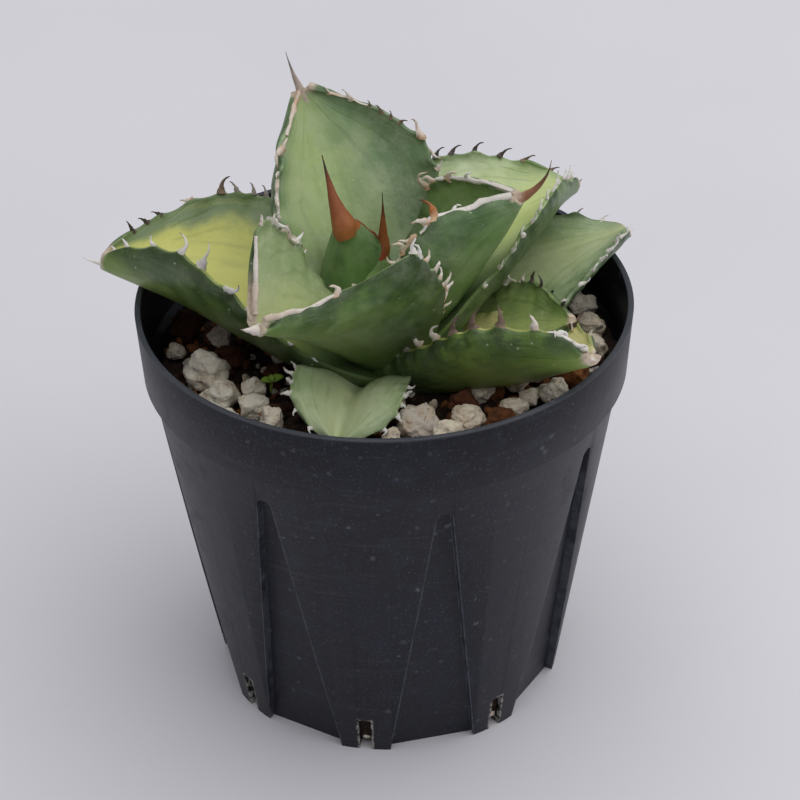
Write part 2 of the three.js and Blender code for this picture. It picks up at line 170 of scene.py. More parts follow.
def add(tree, kind, inputs=(), settings=None, out=0):
    """Adds a node with its settings and gives back its output. An input is a value, a hex colour or another
    node's output, in order or by socket, and None leaves one as it is."""
    item = tree.nodes.new(kind)
    for key, value in (settings or {}).items():
        setattr(item, key, value)
    for key, value in (inputs.items() if isinstance(inputs, dict) else enumerate(inputs)):
        if isinstance(value, bpy.types.NodeSocket):
            tree.links.new(value, item.inputs[key])
        elif value is not None:
            item.inputs[key].default_value = linear(value) if isinstance(value, str) else value
    return item.outputs[out] if item.outputs else None


def finished(name, tree_of, **sockets):
    """A material from its node tree and what its shader's sockets take; underscores stand for spaces."""
    material = bpy.data.materials.new(name)
    material.use_nodes = True
    tree = material.node_tree
    tree.nodes.clear()
    inputs = {key.replace("_", " "): value for key, value in {**tree_of(tree), **sockets}.items()}
    shader = add(tree, "ShaderNodeBsdfPrincipled", inputs)
    add(tree, "ShaderNodeOutputMaterial", (shader,))
    return material


def leaf_skin(name, light, deep, warm, margin, warm_at=0.5, warm_width=0.3, bloom=0.5, gloss=0.46, lines=0.5,
              edge_from=0.72, edge_share=0.8, strip=None, cap=(0.975, "#d3c4ae"), root=0.35):
    """Agave leaf, a thick waxy skin that grew pressed against its neighbours: a grey bloom over the green,
    faint lengthwise streaks, a paler or yellower middle, imprints of other leaves, and a soft gloss.
    strip is a band along one margin, (from, to, colour); cap is where the tip turns to horn, and its colour;
    root is how much painted shade deepens the green towards the leaf's foot, where the leaves above shade it.
    """
    def tree_of(tree):
        where = add(tree, PLACE, out="Object")
        uv = add(tree, "ShaderNodeUVMap", settings={"uv_map": "UVMap"})
        along = add(tree, SPLIT, (uv,))
        sideways = add(tree, SPLIT, (uv,), out=1)
        doubled = add(tree, MATHS, (sideways, 2.0, -1.0), TIMES_PLUS)
        across = add(tree, MATHS, (doubled,), SIZE_OF)
        lumps = add(tree, NOISE, (where, None, per(10), 3.0, 0.6))
        drift = add(tree, MATHS, (lumps, 0.24, -0.12), TIMES_PLUS)
        wander = add(tree, MATHS, (sideways, drift), PLUS)

        # Clouds of two greens, and the paler or yellower stretch beside the midrib.
        broad = add(tree, NOISE, (where, None, per(12), 4.0, 0.6))
        share = add(tree, RANGE, (broad, 0.36, 0.62), EASED)
        colour = add(tree, MIX, {0: share, 6: light, 7: deep}, COLOURS, 2)
        off = add(tree, MATHS, (wander, warm_at), MINUS)
        off = add(tree, MATHS, (off,), SIZE_OF)
        share = add(tree, RANGE, (off, warm_width, 0.04, 0.0, 0.85), EASED)
        colour = add(tree, MIX, {0: share, 6: colour, 7: warm}, COLOURS, 2)
        if strip:
            start, end, tone = strip
            share = add(tree, RANGE, (wander, start, end, 0.0, 0.9), EASED)
            colour = add(tree, MIX, {0: share, 6: colour, 7: tone}, COLOURS, 2)

        # A deeper green gathers near the margins, in patches.
        near = add(tree, MATHS, (across, drift), PLUS)
        near = add(tree, RANGE, (near, edge_from, 0.96, 0.0, edge_share), EASED)
        patch = add(tree, NOISE, (where, None, per(5), 4.0, 0.65))
        patch = add(tree, RANGE, (patch, 0.38, 0.56, 0.3, 1.0), EASED)
        share = add(tree, MATHS, (near, patch), TIMES)
        colour = add(tree, MIX, {0: share, 6: colour, 7: margin}, COLOURS, 2)

        # Painted shade: the green deepens towards the leaf's foot, which the leaves above it shade.
        share = add(tree, RANGE, (along, 0.6, 0.26, 0.0, root), EASED)
        colour = add(tree, MIX, {0: share, 6: colour, 7: margin}, COLOURS, 2)

        # Streaks run from base to tip: narrow across the leaf, ten times as long along it.
        streak = add(tree, STRETCH, {"Vector": uv, "Scale": (1.6, 20, 1)})
        streak = add(tree, NOISE, (streak, None, 1.0, 5.0, 0.6))
        share = add(tree, RANGE, (streak, 0.5, 0.74, 0.0, 0.26), EASED)
        colour = add(tree, MIX, {0: share, 6: colour, 7: margin}, COLOURS, 2)
        share = add(tree, RANGE, (streak, 0.48, 0.28, 0.0, 0.2), EASED)
        colour = add(tree, MIX, {0: share, 6: colour, 7: warm}, COLOURS, 2)

        # Imprints of the leaves that lay on this one in the bud: soft lines that follow its outline.
        wobble = add(tree, NOISE, (where, None, per(14), 2.0))
        left = add(tree, RANGE, (along, 1.0, 0.0, 0.001, 1.0))
        outline = add(tree, MATHS, (left, 0.55), {"operation": "POWER"})
        outline = add(tree, MATHS, (outline, 0.15), PLUS)
        rings = add(tree, MATHS, (across, outline), {"operation": "DIVIDE"})
        rings = add(tree, MATHS, (wobble, 0.3, rings), TIMES_PLUS)
        rings = add(tree, MATHS, (rings, 2.6), TIMES)
        band = add(tree, MATHS, (rings,), {"operation": "FRACT"})
        band = add(tree, MATHS, (band, 0.5), MINUS)
        band = add(tree, MATHS, (band,), SIZE_OF)
        imprint = add(tree, RANGE, (band, 0.17, 0.0, 0.0, lines), EASED)
        broken = add(tree, NOISE, (where, None, per(9), 2.0))
        broken = add(tree, RANGE, (broken, 0.42, 0.6), EASED)
        imprint = add(tree, MATHS, (imprint, broken), TIMES)
        share = add(tree, MATHS, (imprint, 0.38), TIMES)
        colour = add(tree, MIX, {0: share, 6: colour, 7: margin}, COLOURS, 2)

        # The bloom is a wax dust: thick in clouds, rubbed off in small spots.
        cloud = add(tree, NOISE, (where, None, per(7), 5.0, 0.62))
        cloud = add(tree, RANGE, (cloud, 0.4, 0.68, 0.0, bloom), EASED)
        dust = add(tree, NOISE, (where, None, per(0.5), 2.0, 0.7))
        dust = add(tree, RANGE, (dust, 0.36, 0.68, 0.3, 0.6), EASED)
        wax = add(tree, MATHS, (cloud, dust), TIMES)
        colour = add(tree, MIX, {0: wax, 6: colour, 7: "#c6cdb4"}, COLOURS, 2)

        # Dry pinprick scars, 3 mm apart where there are any.
        spots = add(tree, CELLS, (where, None, per(3.1)))
        spots = add(tree, RANGE, (spots, 0.11, 0.05, 0.0, 0.6), EASED)
        some = add(tree, NOISE, (where, None, per(12), 1.0))
        some = add(tree, RANGE, (some, 0.48, 0.58), EASED)
        share = add(tree, MATHS, (spots, some), TIMES)
        colour = add(tree, MIX, {0: share, 6: colour, 7: "#d0cdae"}, COLOURS, 2)

        # The horn of the tip, which runs a little way down the blade.
        cap_from, cap_colour = cap
        ragged = add(tree, MATHS, (drift, 0.25, along), TIMES_PLUS)
        tip = add(tree, RANGE, (ragged, cap_from, cap_from + 0.02), EASED)
        blotch = add(tree, NOISE, (where, None, per(2), 4.0, 0.7))
        blotch = add(tree, RANGE, (blotch, 0.45, 0.7, 0.0, 0.4), EASED)
        horny = add(tree, MIX, {0: blotch, 6: cap_colour, 7: "#6f4a33"}, COLOURS, 2)
        colour = add(tree, MIX, {0: tip, 6: colour, 7: horny}, COLOURS, 2)

        shine = add(tree, MATHS, (wax, 0.35, gloss), TIMES_PLUS)
        fine = add(tree, NOISE, (where, None, per(1.8), 4.0))
        height = add(tree, MATHS, (streak, 0.35, fine), TIMES_PLUS)
        height = add(tree, MATHS, (imprint, -0.6, height), TIMES_PLUS)
        bump = add(tree, BUMP, {"Strength": 0.5, "Distance": 0.35 * MM, "Height": height})
        return {"Base_Color": colour, "Roughness": shine, "Normal": bump}

    return finished(name, tree_of, IOR=1.45, Subsurface_Weight=0.1, Subsurface_Radius=(0.8, 1.0, 0.3),
                    Subsurface_Scale=1.2 * MM)


def horn(name, base, middle, tip, dark=0.25, dark_from=0.72):
    """Horn of a leaf's teeth and spine, dead and weathered: chalky and cracked lengthwise, darker at the
    point and where dirt has stayed in the cracks."""
    def tree_of(tree):
        where = add(tree, PLACE, out="Object")
        reach = add(tree, MARK, settings={"attribute_name": "reach"}, out="Fac")
        worn = add(tree, NOISE, (where, None, per(1.6), 4.0, 0.65))
        worn = add(tree, MATHS, (worn, 0.5, -0.25), TIMES_PLUS)
        line = add(tree, MATHS, (reach, worn), PLUS)
        share = add(tree, RANGE, (line, 0.0, 0.4), EASED)
        colour = add(tree, MIX, {0: share, 6: base, 7: middle}, COLOURS, 2)
        share = add(tree, RANGE, (line, dark_from, 1.0), EASED)
        colour = add(tree, MIX, {0: share, 6: colour, 7: tip}, COLOURS, 2)
        cracks = add(tree, NOISE, (where, None, per(0.5), 4.0, 0.7))
        share = add(tree, RANGE, (cracks, 0.5, 0.68, 0.0, dark), EASED)
        colour = add(tree, MIX, {0: share, 6: colour, 7: "#4c3b2e"}, COLOURS, 2)
        chalk = add(tree, NOISE, (where, None, per(2.2), 3.0, 0.6))
        share = add(tree, RANGE, (chalk, 0.52, 0.72, 0.0, 0.35), EASED)
        colour = add(tree, MIX, {0: share, 6: colour, 7: middle}, COLOURS, 2)
        bump = add(tree, BUMP, {"Strength": 0.6, "Distance": 0.25 * MM, "Height": cracks})
        return {"Base_Color": colour, "Normal": bump}

    return finished(name, tree_of, Roughness=0.55, IOR=1.5, Subsurface_Weight=0.1,
                    Subsurface_Radius=(1.0, 0.6, 0.35), Subsurface_Scale=0.8 * MM)


def polypropylene():
    """Moulded black polypropylene, thin and soft: a satin grey-black skin with dust dried on it in specks and
    smears, rub marks round it, a lip worn pale and a pale line on the panel edges, both partly painted
    highlight."""
    def tree_of(tree):
        where = add(tree, PLACE, out="Object")
        broad = add(tree, NOISE, (where, None, per(26), 3.0))
        share = add(tree, RANGE, (broad, 0.32, 0.68), EASED)
        colour = add(tree, MIX, {0: share, 6: "#0c0e18", 7: "#131622"}, COLOURS, 2)
        # Water marks: pale films a few millimetres across.
        film = add(tree, NOISE, (where, None, per(5.5), 4.0, 0.62))
        film = add(tree, RANGE, (film, 0.5, 0.74, 0.0, 0.22), EASED)
        colour = add(tree, MIX, {0: film, 6: colour, 7: "#474c5a"}, COLOURS, 2)
        # Dust specks of 0.4 to 1 mm, one cell of 3 mm in two, which come in clouds.
        cells = add(tree, CELLS, (where, None, per(3.0)))
        size = add(tree, NOISE, (where, None, per(2.6), 1.0))
        size = add(tree, RANGE, (size, 0.4, 0.66, 0.0, 0.24), EASED)
        speck = add(tree, MATHS, (cells, size), MINUS)
        speck = add(tree, RANGE, (speck, 0.05, -0.08, 0.0, 0.36), EASED)
        cloud = add(tree, NOISE, (where, None, per(17), 2.0))
        cloud = add(tree, RANGE, (cloud, 0.4, 0.62, 0.2, 1.0), EASED)
        specks = add(tree, MATHS, (speck, cloud), TIMES)
        colour = add(tree, MIX, {0: specks, 6: colour, 7: "#7d8089"}, COLOURS, 2)
        fine = add(tree, NOISE, (where, None, per(0.5), 2.0, 0.6))
        fine = add(tree, RANGE, (fine, 0.58, 0.72, 0.0, 0.12), EASED)
        colour = add(tree, MIX, {0: fine, 6: colour, 7: "#9a9da3"}, COLOURS, 2)
        # Rub marks: fine lines round the pot, where pots slide in each other when they are nested.
        rub = add(tree, STRETCH, {"Vector": where, "Scale": (0.35, 0.35, 7)})
        rub = add(tree, NOISE, (rub, None, per(9), 5.0, 0.7))
        rub = add(tree, RANGE, (rub, 0.54, 0.76, 0.0, 0.12), EASED)
        colour = add(tree, MIX, {0: rub, 6: colour, 7: "#70747c"}, COLOURS, 2)
        # The lip, handled most, is scuffed to a paler grey over its last half millimetre, and that paler grey
        # is also a painted highlight where the lip's edge catches the light.
        high = add(tree, SPLIT, (where,), out=2)
        top = POT["height"]
        lip = add(tree, RANGE, (high, (top - 0.5) * MM, (top - 0.1) * MM, 0.0, 0.3), EASED)
        colour = add(tree, MIX, {0: lip, 6: colour, 7: "#686c74"}, COLOURS, 2)
        # The turn about the axis, counted in panels: 0 in the middle of a panel, 0.5 in the middle of a foot,
        # and from it how far round a place is from the middle of its foot.
        east, north = add(tree, SPLIT, (where,)), add(tree, SPLIT, (where,), out=1)
        turn = add(tree, MATHS, (north, east), {"operation": "ARCTAN2"})
        per_radian = POT["panels"] / (2 * math.pi)
        first = math.radians(POT["panel_turn"] - 90) * per_radian
        turn = add(tree, MATHS, (turn, per_radian, 2 * POT["panels"] - first), TIMES_PLUS)
        turn = add(tree, MATHS, (turn,), {"operation": "FRACT"})
        from_foot = add(tree, MATHS, (turn, 0.5), MINUS)
        from_foot = add(tree, MATHS, (from_foot,), SIZE_OF)
        # Round each drain slit, which is in the middle of a foot, the edge is scraped: a pale broken line.
        slit_width, _, slit_height = POT["slit"]
        slit_half = slit_width / 2 / POT["foot_radius"] * per_radian
        away = add(tree, MATHS, (from_foot, slit_half), MINUS)
        beside = add(tree, RANGE, (away, 0.022, 0.004, 0.0, 0.85), EASED)
        low = add(tree, RANGE, (high, (slit_height + 0.8) * MM, (slit_height - 0.2) * MM), EASED)
        chipped = add(tree, NOISE, (where, None, per(1.6), 3.0, 0.6))
        chipped = add(tree, RANGE, (chipped, 0.44, 0.58), EASED)
        worn = add(tree, MATHS, (beside, low), TIMES)
        worn = add(tree, MATHS, (worn, chipped), TIMES)
        colour = add(tree, MIX, {0: worn, 6: colour, 7: "#b3afa6"}, COLOURS, 2)
        # A fine grey line along the long edges of the panels, which draws their outline on the pot: partly
        # rubbed wear, partly a painted highlight where the edges catch the light.
        half_base = POT["foot_radius"] * math.sin(PANEL_HALF_ANGLE)
        narrowing = (POT["tip_width"] / 2 - half_base) / POT["panel_height"]
        reach = add(tree, "ShaderNodeVectorMath", (where, (1, 1, 0)), {"operation": "MULTIPLY"})
        reach = add(tree, "ShaderNodeVectorMath", (reach,), {"operation": "LENGTH"}, "Value")
        angle = add(tree, MATHS, (from_foot, -1 / per_radian, 0.5 / per_radian), TIMES_PLUS)
        beside = add(tree, MATHS, (angle,), {"operation": "SINE"})
        beside = add(tree, MATHS, (beside, reach), TIMES)
        panel_half = add(tree, MATHS, (high, narrowing, half_base * MM), TIMES_PLUS)
        edge = add(tree, MATHS, (beside, panel_half), MINUS)
        edge = add(tree, MATHS, (edge,), SIZE_OF)
        edge = add(tree, RANGE, (edge, 0.34 * MM, 0.12 * MM, 0.0, 0.3), EASED)
        end = POT["panel_height"] - 1
        below = add(tree, RANGE, (high, end * MM, (end - 1) * MM), EASED)
        edge = add(tree, MATHS, (edge, below), TIMES)
        # Noise breaks up the line of wear and painted highlight.
        edge_wear_and_highlight_breakup = add(tree, NOISE, (where, None, per(4), 3.0, 0.6))
        edge_wear_and_highlight_breakup = add(tree, RANGE, (edge_wear_and_highlight_breakup, 0.34, 0.6, 0.25, 1.0), EASED)
        edge = add(tree, MATHS, (edge, edge_wear_and_highlight_breakup), TIMES)
        colour = add(tree, MIX, {0: edge, 6: colour, 7: "#767b86"}, COLOURS, 2)
        shine = add(tree, MATHS, (broad, 0.12, 0.36), TIMES_PLUS)
        shine = add(tree, MATHS, (film, 0.6, shine), TIMES_PLUS)
        shine = add(tree, MATHS, (specks, 0.6, shine), TIMES_PLUS)
        skin = add(tree, NOISE, (where, None, per(2.4), 2.0))
        skin = add(tree, MATHS, (specks, 0.8, skin), TIMES_PLUS)
        skin = add(tree, MATHS, (fine, 0.8, skin), TIMES_PLUS)
        bump = add(tree, BUMP, {"Strength": 0.25, "Distance": 0.2 * MM, "Height": skin})
        return {"Base_Color": colour, "Roughness": shine, "Normal": bump}

    # The fine grain of the mould breaks up part of the reflection, so the plastic looks deep and soft.
    return finished("moulded_black_polypropylene", tree_of, IOR=1.49, Specular_IOR_Level=0.3)


def mineral(name, tones, stain, stain_share, pit, pit_size):
    """Raw mineral grain, pumice or baked clay: dull, pitted, stained in patches, and no two of one colour."""
    def tree_of(tree):
        where = add(tree, PLACE, out="Object")
        tint = add(tree, MARK, settings={"attribute_name": "tint"}, out="Fac")
        mottle = add(tree, NOISE, (where, None, per(2.2), 4.0, 0.65))
        mottle = add(tree, MATHS, (mottle, 0.3, -0.15), TIMES_PLUS)
        tint = add(tree, MATHS, (tint, mottle), PLUS)
        colour = tones[0]
        last = len(tones) - 1
        for i, tone in enumerate(tones[1:]):
            share = add(tree, RANGE, (tint, i / last, (i + 1) / last))
            colour = add(tree, MIX, {0: share, 6: colour, 7: tone}, COLOURS, 2)
        patch = add(tree, NOISE, (where, None, per(3.6), 4.0, 0.6))
        patch = add(tree, RANGE, (patch, 0.5, 0.7, 0.0, stain_share), EASED)
        colour = add(tree, MIX, {0: patch, 6: colour, 7: stain}, COLOURS, 2)
        holes = add(tree, CELLS, (where, None, per(pit_size)))
        hole = add(tree, RANGE, (holes, 0.3, 0.1), EASED)
        some = add(tree, NOISE, (where, None, per(1.1), 3.0))
        some = add(tree, RANGE, (some, 0.5, 0.62, 0.0, 0.6), EASED)
        hole = add(tree, MATHS, (hole, some), TIMES)
        colour = add(tree, MIX, {0: hole, 6: colour, 7: pit}, COLOURS, 2)
        grit = add(tree, NOISE, (where, None, per(0.35), 3.0, 0.7))
        share = add(tree, RANGE, (grit, 0.58, 0.72, 0.0, 0.25), EASED)
        colour = add(tree, MIX, {0: share, 6: colour, 7: "#2e2824"}, COLOURS, 2)
        height = add(tree, MATHS, (hole, -1.6, grit), TIMES_PLUS)
        bump = add(tree, BUMP, {"Strength": 0.8, "Distance": 0.35 * MM, "Height": height})
        return {"Base_Color": colour, "Normal": bump}

    return finished(name, tree_of, Roughness=0.95, IOR=1.5, Specular_IOR_Level=0.3)


def humus():
    """Humus, rotted bark and coir in crumbs: nearly black where damp, brown where it has dried."""
    def tree_of(tree):
        where = add(tree, PLACE, out="Object")
        crumbs = add(tree, NOISE, (where, None, per(1.3), 5.0, 0.7))
        share = add(tree, RANGE, (crumbs, 0.3, 0.56))
        colour = add(tree, MIX, {0: share, 6: "#120c09", 7: "#2f1e15"}, COLOURS, 2)
        share = add(tree, RANGE, (crumbs, 0.56, 0.78))
        colour = add(tree, MIX, {0: share, 6: colour, 7: "#7a563b"}, COLOURS, 2)
        flecks = add(tree, NOISE, (where, None, per(0.6), 2.0, 0.6))
        share = add(tree, RANGE, (flecks, 0.66, 0.74, 0.0, 0.5), EASED)
        colour = add(tree, MIX, {0: share, 6: colour, 7: "#a08468"}, COLOURS, 2)
        bump = add(tree, BUMP, {"Strength": 1.0, "Distance": 0.7 * MM, "Height": crumbs})
        return {"Base_Color": colour, "Normal": bump}

    return finished("damp_humus", tree_of, Roughness=0.92, IOR=1.45)


def dry_fibre():
    """Dry fibrous wood of the stem and roots: brown, ribbed along its length and dull."""
    def tree_of(tree):
        where = add(tree, PLACE, out="Object")
        ribs = add(tree, STRETCH, {"Vector": where, "Scale": (4, 4, 0.6)})
        ribs = add(tree, NOISE, (ribs, None, per(3), 4.0, 0.6))
        share = add(tree, RANGE, (ribs, 0.3, 0.75))
        colour = add(tree, MIX, {0: share, 6: "#4a3524", 7: "#b39a72"}, COLOURS, 2)
        bump = add(tree, BUMP, {"Strength": 0.7, "Distance": 0.5 * MM, "Height": ribs})
        return {"Base_Color": colour, "Normal": bump}

    return finished("dry_stem_fibre", tree_of, Roughness=0.88)


def matte_paper():
    """Seamless background paper: matte, faintly uneven and very slightly violet."""
    def tree_of(tree):
        where = add(tree, PLACE, out="Object")
        uneven = add(tree, NOISE, (where, None, per(160), 3.0))
        share = add(tree, RANGE, (uneven, 0.35, 0.65), EASED)
        colour = add(tree, MIX, {0: share, 6: "#e9e8ed", 7: "#e5e4ea"}, COLOURS, 2)
        fibre = add(tree, NOISE, (where, None, per(1.5), 3.0, 0.6))
        share = add(tree, RANGE, (fibre, 0.6, 0.75, 0.0, 0.06), EASED)
        colour = add(tree, MIX, {0: share, 6: colour, 7: "#c2c0c6"}, COLOURS, 2)
        bump = add(tree, BUMP, {"Strength": 0.1, "Distance": 0.1 * MM, "Height": fibre})
        return {"Base_Color": colour, "Normal": bump}

    return finished("pale_background_paper", tree_of, Roughness=0.75)


# ------------------------------------------------------------------ pot

POT = {
    "height": 92, "rim_radius": 52.5, "band_height": 14.7, "band_taper": 1.1, "rim_step": 1.4,
    "foot_radius": 37.5, "wall": 1.2, "floor": 1.6, "panels": 8, "panel_turn": 13.6, "panel_height": 70.6,
    "tip_width": 3, "foot_width": 10.6, "panel_depth": 1.7, "slit": (2.7, 12, 9),
}
ROUND = 160  # sides of the pot's circles
PANEL_HALF_ANGLE = math.pi / POT["panels"] - math.asin(POT["foot_width"] / 2 / POT["foot_radius"])
band_foot = POT["height"] - POT["band_height"]
band_radius = POT["rim_radius"] - POT["band_taper"]
body_top_radius = band_radius - POT["rim_step"]


def body_radius_at(z):
    return POT["foot_radius"] + (body_top_radius - POT["foot_radius"]) * z / band_foot


def stack(name, rings):
    """A round solid, from a disc that is extruded and scaled from ring to ring, each (radius, height)."""
    clear()
    radius, low = rings[0]
    bpy.ops.mesh.primitive_circle_add(
        vertices=ROUND, radius=radius * MM, fill_type="NGON", location=(0, 0, low * MM)
    )
    piece = named(name)
    bpy.ops.object.mode_set(mode="EDIT")
    bpy.ops.mesh.select_all(action="SELECT")
    for wider, high in rings[1:]:
        rise = (0, 0, (high - low) * MM)
        bpy.ops.mesh.extrude_region_move(TRANSFORM_OT_translate={"value": rise})
        share = wider / radius
        bpy.ops.transform.resize(value=(share, share, 1), center_override=(0, 0, high * MM))
        radius, low = wider, high
    bpy.ops.mesh.select_all(action="SELECT")
    bpy.ops.mesh.normals_make_consistent(inside=False)
    bpy.ops.object.mode_set(mode="OBJECT")
    return settle(piece)


def panel_cutters(grow):
    """The eight long wedges with round tips that the panels take out of the cone, grown all round."""
    half_base = POT["foot_radius"] * math.sin(PANEL_HALF_ANGLE) + grow
    half_tip = POT["tip_width"] / 2 + grow
    foot_distance = POT["foot_radius"] * math.cos(PANEL_HALF_ANGLE) - POT["panel_depth"]
    tip_distance = body_radius_at(POT["panel_height"]) - POT["panel_depth"]
    lean = math.atan2(tip_distance - foot_distance, POT["panel_height"])
    height = POT["panel_height"] / math.cos(lean) + grow
    below = 8  # how far a wedge runs on under the pot
    widening = (half_base - half_tip) / height * below
    outward = 20  # and out of its wall
    clear()
    bpy.ops.mesh.primitive_cube_add(size=2)
    first = named("panel_cutter")
    for corner in first.data.vertices:
        x, y, z = corner.co
        half = half_tip if y > 0 else half_base + widening
        depth = outward if z > 0 else -grow
        corner.co = Vector((x * half, height if y > 0 else -below, depth)) * MM
    bpy.ops.object.mode_set(mode="EDIT")
    bpy.ops.mesh.select_mode(type="EDGE")
    bpy.ops.mesh.select_all(action="DESELECT")
    shape = bmesh.from_edit_mesh(first.data)
    for edge in shape.edges:
        a, b = (v.co for v in edge.verts)
        edge.select = min(a.y, b.y) > height * MM * 0.99 and abs(a.x - b.x) < half_tip * MM * 0.1
    bmesh.update_edit_mesh(first.data)
    bpy.ops.mesh.bevel(offset=half_tip * 0.98 * MM, segments=6, affect="EDGES")
    bpy.ops.mesh.select_mode(type="VERT")
    bpy.ops.object.mode_set(mode="OBJECT")
    stand = Matrix.Translation((0, -foot_distance * MM, 0)) @ Matrix.Rotation(math.pi / 2 + lean, 4, "X")
    cutters = []
    for k in range(POT["panels"]):
        turn = math.radians(POT["panel_turn"]) + k * 2 * math.pi / POT["panels"]
        cutter = copied(first, f"panel_cutter_{k}")
        cutter.data.transform(Matrix.Rotation(turn, 4, "Z") @ stand)
        cutters.append(cutter)
    bpy.data.objects.remove(first)
    return cutters


def make_pot(material):
    """A thin conical pot: a turned body and rim band, eight recessed panels outside and in, drain slits."""
    outside = stack("nursery_pot", [
        (POT["foot_radius"], 0), (body_top_radius, band_foot), (band_radius, band_foot),
        (POT["rim_radius"], POT["height"]),
    ])
    for cutter in panel_cutters(0):
        cut(outside, cutter)
    wall = POT["wall"]
    over = 2  # the hollow runs past the lip
    hollow = stack("hollow", [
        (body_radius_at(POT["floor"]) - wall, POT["floor"]), (body_top_radius - wall, band_foot),
        (band_radius - wall, band_foot + POT["rim_step"]), (POT["rim_radius"] - wall, POT["height"]),
        (POT["rim_radius"] - wall, POT["height"] + over),
    ])
    for cutter in panel_cutters(wall):
        cut(hollow, cutter)
    cut(outside, hollow)
    width, inward, high = POT["slit"]
    for k in range(POT["panels"]):
        turn = math.radians(POT["panel_turn"]) + (k + 0.5) * 2 * math.pi / POT["panels"]
        clear()
        bpy.ops.mesh.primitive_cube_add(
            size=1, location=(0, 0, 0), scale=(width * MM, inward * 2 * MM, high * 2 * MM)
        )
        slit = settle(named("slit_cutter"))
        place = Matrix.Rotation(turn, 4, "Z") @ Matrix.Translation((0, -POT["foot_radius"] * MM, 0))
        slit.data.transform(place)
        cut(outside, slit)
    finish_with(outside, "BEVEL", width=0.22 * MM, segments=2, limit_method="ANGLE",
                angle_limit=math.radians(24), use_clamp_overlap=True)
    smooth(outside, 30)
    coat(outside, material)
    hand_over(outside, "pot_plastic", "pot")


# ------------------------------------------------------------------ leaves

MIX_LEVEL = 77
NUDGE = 0.01  # a small step along a leaf or a horn, as a share of its length, to find its direction
MARGIN = 0.8  # thickness of a leaf's edge
TAPER = 0.75  # share of a leaf's thickness that is gone at its tip
NARROWING = 0.94  # share of its half width that is gone there

# Pairs run from base to tip. heading is where the leaf points, from +X towards +Y; rise is the slope of
# its midrib, fold the V of its halves, cup their curl and roll its turn about the midrib.
LEAVES = {
    "leaf_bud": dict(
        heading=24, sweep=0, rise=(84, 89), length=22, half_width=12.5, base_share=0.9, widest_at=0.3,
        fullness=1.9, fold=(20, 24), cup=(82, 90), roll=(-142, -150), reach=-10, lift=14.5, thickness=3.2),
    "leaf_inner": dict(
        heading=20, sweep=0, rise=(82, 88), length=15, half_width=9, base_share=0.85, widest_at=0.3,
        fullness=1.6, fold=(18, 20), cup=(66, 76), roll=(0, 0), reach=-2, lift=14, thickness=2.6),
    "leaf_right_up": dict(
        heading=-8, sweep=0, rise=(48, 58), length=36, half_width=18.6, base_share=0.68, widest_at=0.51,
        fullness=1.8, fold=(11, 24), cup=(52, 59), roll=(-3, -5), reach=6, lift=13, thickness=6),
    "leaf_back": dict(
        heading=119, sweep=10, rise=(51, 61), length=46, half_width=22, base_share=0.7, widest_at=0.49,
        fullness=1.9, fold=(6, 13), cup=(40, 46), roll=(-2, -6), reach=5, lift=13, thickness=6),
    "leaf_front_left": dict(
        heading=242, sweep=-11, rise=(40, 27), length=51, half_width=28.5, base_share=0.46, widest_at=0.67,
        fullness=0.24, fold=(13, 30), cup=(35, 47), roll=(-4, 5), reach=5, lift=7, thickness=6),
    "leaf_back_right": dict(
        heading=40, sweep=-5, rise=(27, 6), length=50, half_width=22.5, base_share=0.7, widest_at=0.5,
        fullness=1.85, fold=(4, 19), cup=(37, 50), roll=(6, -12), reach=5, lift=9, thickness=6),
    "leaf_left": dict(
        heading=171, sweep=5, rise=(12, 20), length=57, half_width=25.5, base_share=0.7, widest_at=0.51,
        fullness=2.1, fold=(-2, 17), cup=(44, 51), roll=(-15, 24), reach=5, lift=6, thickness=6),
    "leaf_right": dict(
        heading=19, sweep=7, rise=(19, 7), length=53, half_width=20, base_share=0.7, widest_at=0.5,
        fullness=1.85, fold=(-9, 7), cup=(22, 35), roll=(12, -21), reach=5, lift=7, thickness=6),
    "leaf_low_right": dict(
        heading=-28, sweep=0, rise=(13, 35), length=42, half_width=15.3, base_share=0.7, widest_at=0.53,
        fullness=1.9, fold=(-3, 15), cup=(31, 47), roll=(-8, 7), reach=5, lift=4.5, thickness=5),
    "leaf_right_front": dict(
        heading=-38, sweep=-6, rise=(20, 28), length=55, half_width=14.5, base_share=0.69, widest_at=0.51,
        fullness=2, fold=(4, 16), cup=(36, 47), roll=(-3, -30), reach=4, lift=1, thickness=7),
    "leaf_front": dict(
        heading=251, sweep=10, rise=(62, -34), length=33, half_width=12, base_share=0.7, widest_at=0.48,
        fullness=4.5, fold=(13, 10), cup=(14, 9), roll=(7, -16), reach=10, lift=-3.5, thickness=4),
    "leaf_back_low": dict(
        heading=92, sweep=4, rise=(16, 12), length=44, half_width=17, base_share=0.7, widest_at=0.5,
        fullness=1.9, fold=(4, 14), cup=(36, 46), roll=(0, 6), reach=5, lift=5.2, thickness=5),
}


for leaf_name, leaf_sizes in LEAVES.items():
    leaf_sizes["name"] = leaf_name

# Leaves whose two halves differ: by side, the half's share of the width, its extra fold in degrees, and its
# share of the curl.
UNEVEN = {
    "leaf_front_left": {-1: (1, 39, 0.2)},
    "leaf_right_front": {1: (1.02, 7, 1)},
    "leaf_low_right": {-1: (0.4, -30, 0.6)},
    "leaf_right": {-1: (0.95, -9, 0.8)},
    "leaf_left": {-1: (1.07, 0, 1)},
}

# The far half of the front left leaf stands up like a sail: its width, by share of the leaf's length.
SAIL = ("leaf_front_left", -1)
SAIL_WIDTHS = [(0, 7), (0.3, 7), (0.45, 10.5), (0.7, 17), (0.9, 20.7), (0.97, 18.5), (1, 1.7)]

